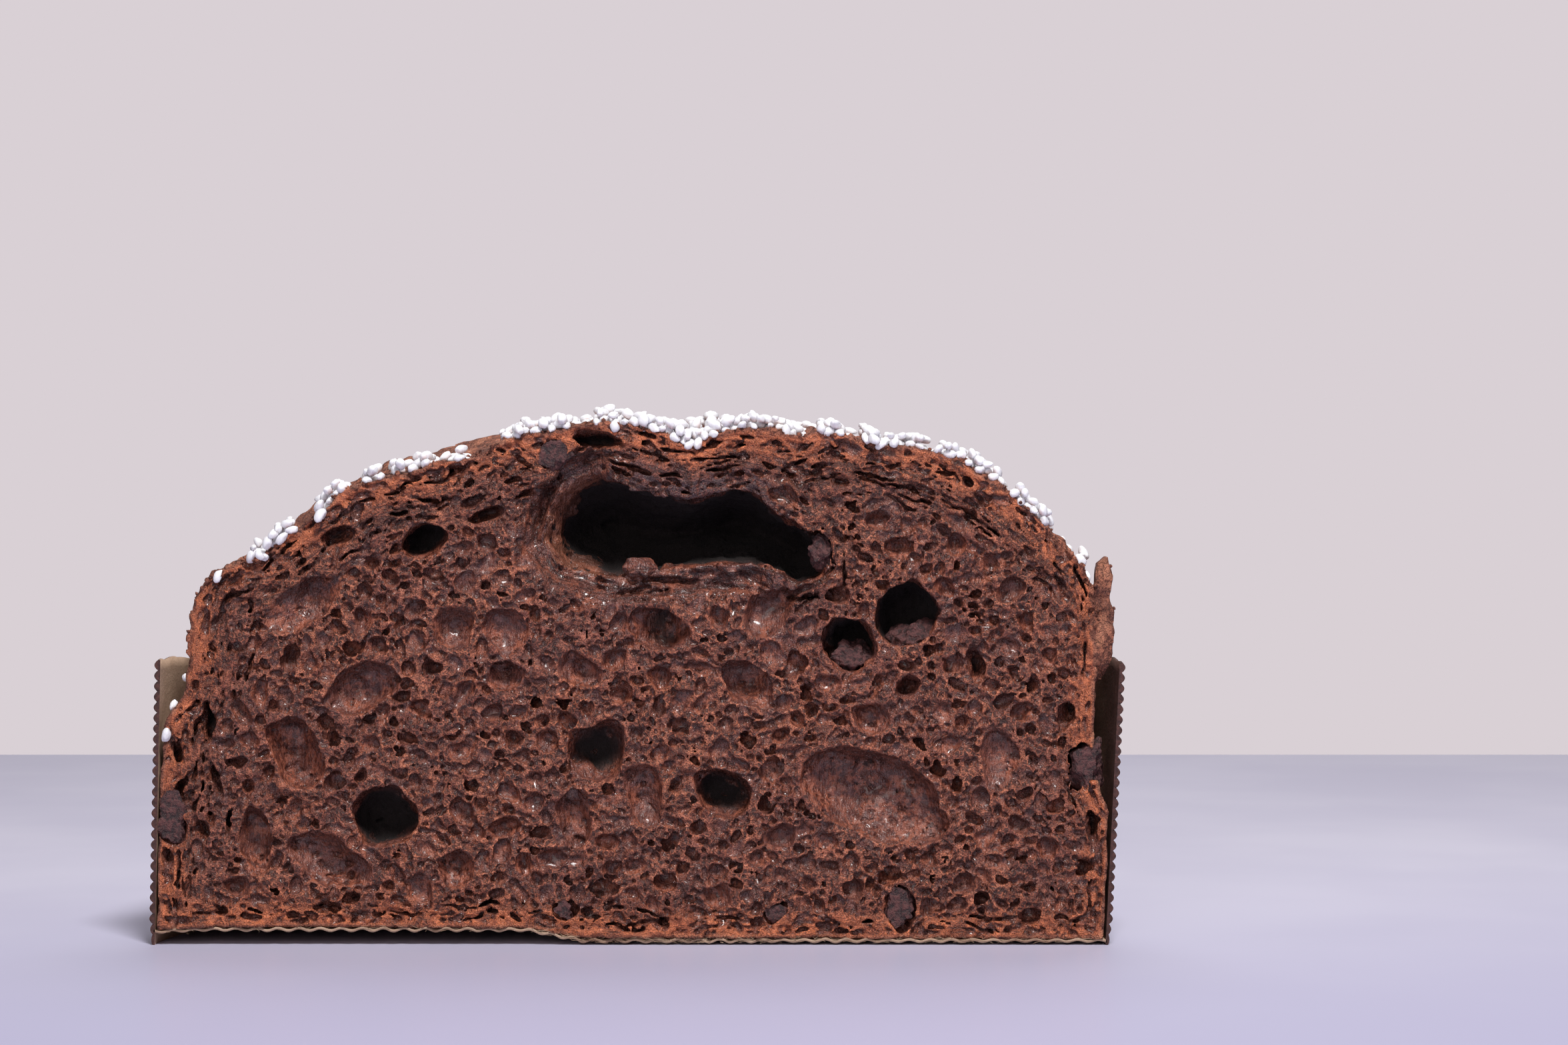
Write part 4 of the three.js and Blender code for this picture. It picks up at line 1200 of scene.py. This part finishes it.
def case_base():
    """A thin sheet in level waves, cut to the outline."""
    steps = np.linspace(0, OUTLINE, 400)
    edge_x, edge_y = plan(steps, -SHEET_REACH)
    back = edge_y.max()
    x = np.arange(-CASE_HALF_WIDTH - 1, CASE_HALF_WIDTH + 1, SHEET_STEP[0])
    y = np.concatenate([[0], np.arange(SHEET_STEP[1], back, SHEET_STEP[1]), [back - 0.05]])
    gx, gy = np.meshgrid(x, y, indexing="ij")
    half = np.broadcast_to(np.interp(y, edge_y, edge_x), gx.shape)
    on_sheet = np.abs(gx[:-1, :-1] + gx[1:, 1:]) / 2 < np.minimum(half[:-1, :-1], half[1:, 1:])
    a, b = np.nonzero(on_sheet)
    corner = a * len(y) + b
    top = np.column_stack([corner, corner + len(y), corner + len(y) + 1, corner + 1])
    px, py = np.clip(gx, -half, half).ravel(), gy.ravel()
    height, long = SHEET_WAVE
    wave = height * np.sin(2 * math.pi * px / long)
    wave *= 1 + 0.5 * noise_at(np.column_stack([px, py, py]), 11, 66)
    z = lift(px, py) + SHEET_MIDDLE + 0.5 * wave
    points = np.vstack([
        np.column_stack([px, py, z + SHEET_THICKNESS / 2]),
        np.column_stack([px, py, np.maximum(0.02, z - SHEET_THICKNESS / 2)]),
    ])
    count = len(px)
    rim = open_edges(top)
    sides = np.column_stack([rim[:, 1], rim[:, 0], rim[:, 0] + count, rim[:, 1] + count])
    used, (quads,) = used_points([np.vstack([top, top[:, ::-1] + count, sides])])
    points = points[used]
    points[:, 0] += lean(points[:, 0], points[:, 2])
    return points, quads


def case_piece(material):
    wall, caps, wall_quads, liner = case_wall()
    sheet, sheet_quads = case_base()
    points = np.vstack([wall, sheet])
    quads = np.vstack([wall_quads, sheet_quads + len(wall)])
    inner = {"inner": np.concatenate([liner, np.full(len(sheet), SHEET_SHARE)])}
    make_piece("case_paper", points, [caps, quads], material, inner, "paper_case")


FIBRES = (420, 0.07)  # how many, thickness
FIBRE_REACH = [(-14, 30, 0.62), (30, 96, 0.26), (-98, -14, 0.12)]  # first and last x, share of them
FIBRE_LONG = (0.9, 3.4)
FIBRE_STEPS = 7
FIBRE_SEED = 67


def fibre_piece(material):
    """Fibres that fray from the cut edge of the base, each a thin curled tube."""
    draw = np.random.default_rng(FIBRE_SEED)
    count, thick = FIBRES
    steps = np.linspace(0, 1, FIBRE_STEPS)
    ring = thick * np.array([(0, 0, 1), (0, 0.87, -0.5), (0, -0.87, -0.5)])
    quads = strip_quads(FIBRE_STEPS, 3)
    tip = 3 * (FIBRE_STEPS - 1)
    faces = np.vstack([quads[:, [0, 1, 2]], quads[:, [0, 2, 3]], [(2, 1, 0), (tip, tip + 1, tip + 2)]])
    shares = [share for _, _, share in FIBRE_REACH]
    heap = Heap()
    for _ in range(count):
        first, last, _ = FIBRE_REACH[draw.choice(len(FIBRE_REACH), p=shares)]
        x, long = draw.uniform(first, last), draw.uniform(*FIBRE_LONG)
        angle = draw.uniform(0, math.pi) + draw.normal(0, 0.3) * steps
        angle = angle + draw.uniform(-2.2, 2.2) * steps**2
        path = np.column_stack([np.cos(angle), draw.normal(-0.5, 0.35) * steps, 0.45 * np.sin(angle)])
        path = np.vstack([[0, 0, 0], np.cumsum(path[1:], axis=0)]) * long / (FIBRE_STEPS - 1)
        path += [x, draw.uniform(-0.1, 0.5), lift(x, 0) + draw.uniform(0.5, 1.2)]
        path[:, 2] = np.maximum(path[:, 2], 2 * thick)
        tube = path[:, None, :] + ring * (1 - 0.6 * steps)[:, None, None]
        heap.add(tube.reshape(-1, 3), faces, 1.0)
    heap.piece("case_fibres", material, "paper", attribute="inner")


# ---- Small solids ----

def ball(fineness):
    """Points and triangles of a unit sphere of near-even triangles."""
    shape = bmesh.new()
    bmesh.ops.create_icosphere(shape, subdivisions=fineness, radius=1)
    points = np.array([v.co[:] for v in shape.verts])
    faces = np.array([[v.index for v in f.verts] for f in shape.faces])
    shape.free()
    return points, faces


def uneven(points, size, height, seed):
    """Move points of a ball in and out."""
    return points * (1 + height * noise_at(points + seed * 7.3, size, 90 + seed % 5))[:, None]


def facetted(points, draw, planes, least=0.72):
    """Cut a ball by planes, as a broken lump is."""
    for _ in range(planes):
        normal = draw.normal(size=3)
        normal /= np.linalg.norm(normal)
        over = np.maximum(0, points @ normal - draw.uniform(least, 0.95))
        points = points - over[:, None] * normal
    return points


def turned(points, normal, angle):
    """Points with z along a normal, turned about it."""
    normal = normal / np.linalg.norm(normal)
    side = np.cross(normal, [0.3, 0.9, 0.1])
    side /= np.linalg.norm(side)
    ahead = np.cross(normal, side)
    first = math.cos(angle) * side + math.sin(angle) * ahead
    second = np.cross(normal, first)
    return points[:, [0]] * first + points[:, [1]] * second + points[:, [2]] * normal


class Heap:
    """Many small solids in one mesh."""

    def __init__(self):
        self.points, self.faces, self.values, self.count = [], [], [], 0

    def add(self, points, faces, value=0.0):
        self.points.append(points)
        self.faces.append(faces + self.count)
        self.values.append(np.broadcast_to(value, len(points)))
        self.count += len(points)

    def piece(self, name, material, slot, replaces=None, attribute="sunk"):
        values = {attribute: np.concatenate(self.values)}
        points, faces = np.vstack(self.points), np.vstack(self.faces)
        make_piece(name, points, [faces], material, values, replaces)


# ---- Sugar pearls ----

# Where pearls lie along the cut edge, first and last x.
PEARL_RUNS = [
    (-80.2, -77.4), (-75.2, -71), (-66, -60.5), (-55.8, -52.5), (-50, -48.5), (-45.7, -41.5),
    (-38, -34.5), (-26.7, -13.4), (-7, 16), (17, 36.6), (39.8, 44.7), (49, 51.8), (53.2, 62),
    (64.3, 78), (80.9, 87.2), (94.2, 95.4),
]
FALLEN_PEARLS = [(-92.8, 1.6, 56), (-96.6, 1.6, 50), (-86.4, 0.6, 74.4), (-95.4, 0.4, 44.6)]
EDGE_DEPTH = 7.0
PEARL_SUNK = 0.3
PEARLS_CLOSE = 13.5  # pearls in front of this have more faces
PEARL_APART = 1.75
PEARL_CROWDS = [(1.0, 15, 111), (0.6, 5, 112), (0.5, 2.6, 113)]
PEARL_GAPS = 0.16
EDGE_HEAPS = (7, 0.45)  # neighbours that carry a pearl of the second layer, and its chance
HEAPS = (11, 0.15)
PEARL_RISES = (1.1 * (1 - 2 * PEARL_SUNK), 2.0)  # over the crust, for the first layer and the second
PEARL_CELL = 4  # side of the cubes that pearls are looked up in
PEARL_SCALES = (0.76, 1.16)
PEARL_SEED = 17
PEARL_FORMS = [  # half sizes, unevenness, flat sides, share of the pearls
    ((1.8, 1.0, 0.95), 0.14, 5, 0.28), ((1.55, 1.05, 0.95), 0.18, 6, 0.22), ((1.3, 1.1, 1.0), 0.16, 6, 0.2),
    ((1.75, 0.9, 0.85), 0.2, 5, 0.14), ((1.2, 1.0, 0.9), 0.22, 9, 0.09), ((1.4, 0.95, 0.85), 0.26, 9, 0.07),
]


def pearl_forms(fineness):
    """The forms as points, and the faces that all of them have."""
    draw = np.random.default_rng(PEARL_SEED)
    points, faces = ball(fineness)
    forms = [
        uneven(facetted(points, draw, flats), 1.1, height, seed) * half
        for seed, (half, height, flats, _) in enumerate(PEARL_FORMS)
    ]
    return forms, faces


def covered(points, normals):
    """Where pearls lie on the crust: in runs along the cut, and in crowds behind, few at the left."""
    x, y, z = points.T
    crowd = layered(noise_at, points, PEARL_CROWDS) - PEARL_GAPS - 0.4 * smooth(-x, 30, 85)
    crowd = crowd - 0.9 * smooth(-x, 24, 48) * (1 - smooth(y, 30, 55))
    in_run = np.any([(first < x) & (x < last) for first, last in PEARL_RUNS], axis=0)
    edge = 1 - smooth(y, EDGE_DEPTH - 3, EDGE_DEPTH + 9)
    on_top = (z > SHOULDER_HEIGHT + 3) & (y > 0.7) & (normals[:, 2] > 0.2)
    bare = (great_hollow_distance(x, y, z) < HOLLOW_MARGIN) | ((x > SLIVER_SIDE) & (y < SLIVER_BACK))
    return on_top & ~bare & (mix(crowd, np.where(in_run, 1, -1), edge) > 0)


class Crowd:
    """Places of the pearls so far, kept by cubes."""

    def __init__(self):
        self.cubes = {}

    def cube(self, spot):
        return tuple((spot // PEARL_CELL).astype(int))

    def add(self, spot):
        self.cubes.setdefault(self.cube(spot), []).append(spot)

    def around(self, spot):
        i, j, k = self.cube(spot)
        near = [(i + a, j + b, k + c) for a in (-1, 0, 1) for b in (-1, 0, 1) for c in (-1, 0, 1)]
        return [other for cube in near for other in self.cubes.get(cube, ())]


def pearl_pieces(points, normals, material):
    """Fallen pearls at their own places, then one layer on the crust, and some pearls on it."""
    draw = np.random.default_rng(PEARL_SEED)
    front, back = Heap(), Heap()
    near, far = (*pearl_forms(3), front), (*pearl_forms(2), back)
    shares = [share for *_, share in PEARL_FORMS]
    crowd = Crowd()

    def put(spot, normal):
        crowd.add(spot)
        kind = draw.choice(len(PEARL_FORMS), p=shares)
        tilted = normal + draw.normal(0, 0.28, 3)
        size = draw.uniform(*PEARL_SCALES)
        forms, faces, heap = near if spot[1] < PEARLS_CLOSE else far
        shape = turned(forms[kind] * size, tilted, draw.uniform(0, 2 * math.pi))
        heap.add(shape + spot, faces, smooth(-(shape @ normal), -0.2, 0.9))

    for fallen in FALLEN_PEARLS:
        nearest = np.argmin(np.linalg.norm(points - fallen, axis=1))
        put(points[nearest] + 0.5 * normals[nearest], normals[nearest])
    here = covered(points, normals)
    points, normals = points[here], normals[here]
    order = draw.permutation(len(points))
    for layer, rise in enumerate(PEARL_RISES):
        for index in order:
            spot = points[index] + rise * normals[index]
            around = crowd.around(spot)
            if any(np.linalg.norm(other - spot) <= PEARL_APART for other in around):
                continue
            crowded, chance = EDGE_HEAPS if points[index][1] < EDGE_DEPTH else HEAPS
            if layer == 0 or (len(around) >= crowded and draw.random() < chance):
                put(spot, normals[index])
    front.piece("pearls_front", material, "crumb", "cake")
    back.piece("pearls_back", material, "crumb", "cake")


# ---- Crumbs ----

CRUMBS = (320, 0.22, 0.6)  # how many, least and most radius
CRUMB_SEED = 23
CRUMB_REACH = 5.0


def crumb_bits(points, normals, material):
    """Loose crumbs that cling to the crust along the cut."""
    draw = np.random.default_rng(CRUMB_SEED)
    shape, faces = ball(2)
    count, least, most = CRUMBS
    on_top = (points[:, 2] > SHOULDER_HEIGHT - 8) & (normals[:, 2] > 0.25)
    clear = great_hollow_distance(*points.T) > HOLLOW_MARGIN
    near = np.flatnonzero((points[:, 1] < CRUMB_REACH) & on_top & clear)
    heap = Heap()
    for index in draw.choice(near, min(count, len(near)), replace=False):
        radius = least + (most - least) * draw.random() ** 2
        form = uneven(facetted(shape, draw, 4), 0.7, 0.35, draw.integers(0, 999))
        form = form * draw.uniform(0.7, 1.2, 3) * radius
        form = turned(form, normals[index], draw.uniform(0, 2 * math.pi))
        heap.add(form + points[index] + 0.35 * radius * normals[index], faces)
    heap.piece("crumbs", material, "crumb")


# ---- Chocolate ----

CHUNK_SEED = 41
CHUNK_FINENESS = 5
CHUNK_LAYERS = [(1.1, 2.9, 121), (0.7, 1.3, 122), (0.35, 0.6, 123)]


def chunk_pieces(material):
    """Broken lumps, each cut level by the knife where it reaches the cut face."""
    ball_points, faces = ball(CHUNK_FINENESS)
    for number, (x, y, z, *half) in enumerate(CHUNKS):
        draw = np.random.default_rng(CHUNK_SEED + number)
        shape = facetted(ball_points * 1.12, draw, 9, 0.7) * half
        rough = layered(noise_at, shape + 31 * number, CHUNK_LAYERS)
        shape += rough[:, None] * ball_points
        shape += [x, y, z]
        shape[:, 1] = np.maximum(shape[:, 1], KNIFE_FRONT + KNIFE_WAVE * noise_at(shape, 1.3, 124))
        name, node = f"chocolate_{number + 1}", f"chocolate_chunk_{number + 1}"
        make_piece(name, shape, [faces], material, None, node)


# ---- Stage ----

TABLE = (1.8, -1.6, 0.43)  # half width, near and far edge, in metres
BACKDROP = srgb(217, 208, 213)
FILL = 0.16  # the backdrop lights the cake by this share of what the camera sees
LIGHTS = [  # name, place, target and size in metres, power in watts
    ("light_behind", (0.1, 0.5, 1.0), (0, 0, 0.06), 0.8, 5.0),
    ("light_above", (0.15, -0.66, 0.95), (0, -0.08, 0.06), 0.26, 13.0),
    ("light_front", (-0.3, -1.5, 0.5), (0, -0.05, 0.05), 0.7, 4.0),
]
CAMERA_PLACE = (31.0, -875.75, 104.0)
CAMERA_PITCH = 1.05  # degrees down
CAMERA_LENS = 87.1
CAMERA_SENSOR = 36


def show(name, data):
    thing = bpy.data.objects.new(name, data)
    bpy.context.scene.collection.objects.link(thing)
    return thing


def table_top():
    """Pale, and darker towards the front by painted shade."""
    wide, near, far = TABLE
    mesh = bpy.data.meshes.new("table_top")
    corners = [(-wide, near, 0), (wide, near, 0), (wide, far, 0), (-wide, far, 0)]
    mesh.from_pydata(corners, [], [(0, 1, 2, 3)])
    shade = Shading("pale_table", Roughness=0.35)
    tone = shade.tint(srgb(214, 210, 230), srgb(222, 218, 236), shade.noise(90, 3), 0.3, 0.7)
    # Painted shade: darker towards the front, where the cake's shadow falls.
    front = shade.ramp(shade.parts(shade.place)[1], -0.26, 0.12, 1, 0)
    mesh.materials.append(shade.set(Base_Color=shade.blend(front, tone, srgb(182, 178, 206))))
    show("table_top", mesh)


def studio_world():
    """The camera sees the whole backdrop, and the cake is lit by a share of it."""
    world = bpy.data.worlds.new("studio")
    world.use_nodes = True
    tree = world.node_tree
    seen, fill = tree.nodes["Background"], tree.nodes.new("ShaderNodeBackground")
    share, path = tree.nodes.new("ShaderNodeMixShader"), tree.nodes.new("ShaderNodeLightPath")
    for light, strength in ((seen, 1.0), (fill, FILL)):
        light.inputs["Color"].default_value = (*BACKDROP, 1)
        light.inputs["Strength"].default_value = strength
    for number, output in enumerate((path.outputs["Is Camera Ray"], fill.outputs[0], seen.outputs[0])):
        tree.links.new(output, share.inputs[number])
    tree.links.new(share.outputs[0], tree.nodes["World Output"].inputs["Surface"])
    bpy.context.scene.world = world
    bpy.context.scene.view_settings.view_transform = "Standard"


def area_light(name, place, target, size, power):
    light = bpy.data.lights.new(name, "AREA")
    light.shape = "DISK"
    light.size = size
    light.energy = power
    lamp = show(name, light)
    lamp.location = place
    lamp.rotation_euler = (Vector(target) - Vector(place)).to_track_quat("-Z", "Y").to_euler()


def front_camera():
    lens = bpy.data.cameras.new("camera")
    lens.lens = CAMERA_LENS
    lens.sensor_width = CAMERA_SENSOR
    camera = show("camera", lens)
    camera.location = [value * MM for value in CAMERA_PLACE]
    camera.rotation_euler = (math.radians(90 - CAMERA_PITCH), 0, 0)
    bpy.context.scene.camera = camera


# ---- Put together ----

table_top()
studio_world()
for settings in LIGHTS:
    area_light(*settings)
front_camera()

body_axes, body_outer, behind_slab = body_field()
cocoa = cake_material()
front_crust = crumb_pieces(*slab_field(body_axes, body_outer), cocoa)
back_crust = crust_piece(body_axes, behind_slab, cocoa)
crust_points, crust_normals = [np.vstack(pair) for pair in zip(front_crust, back_crust)]
pearl_pieces(crust_points, crust_normals, sugar_material())
crumb_bits(crust_points, crust_normals, cocoa)
paper = paper_material()
case_piece(paper)
fibre_piece(paper)
chunk_pieces(chocolate_material())
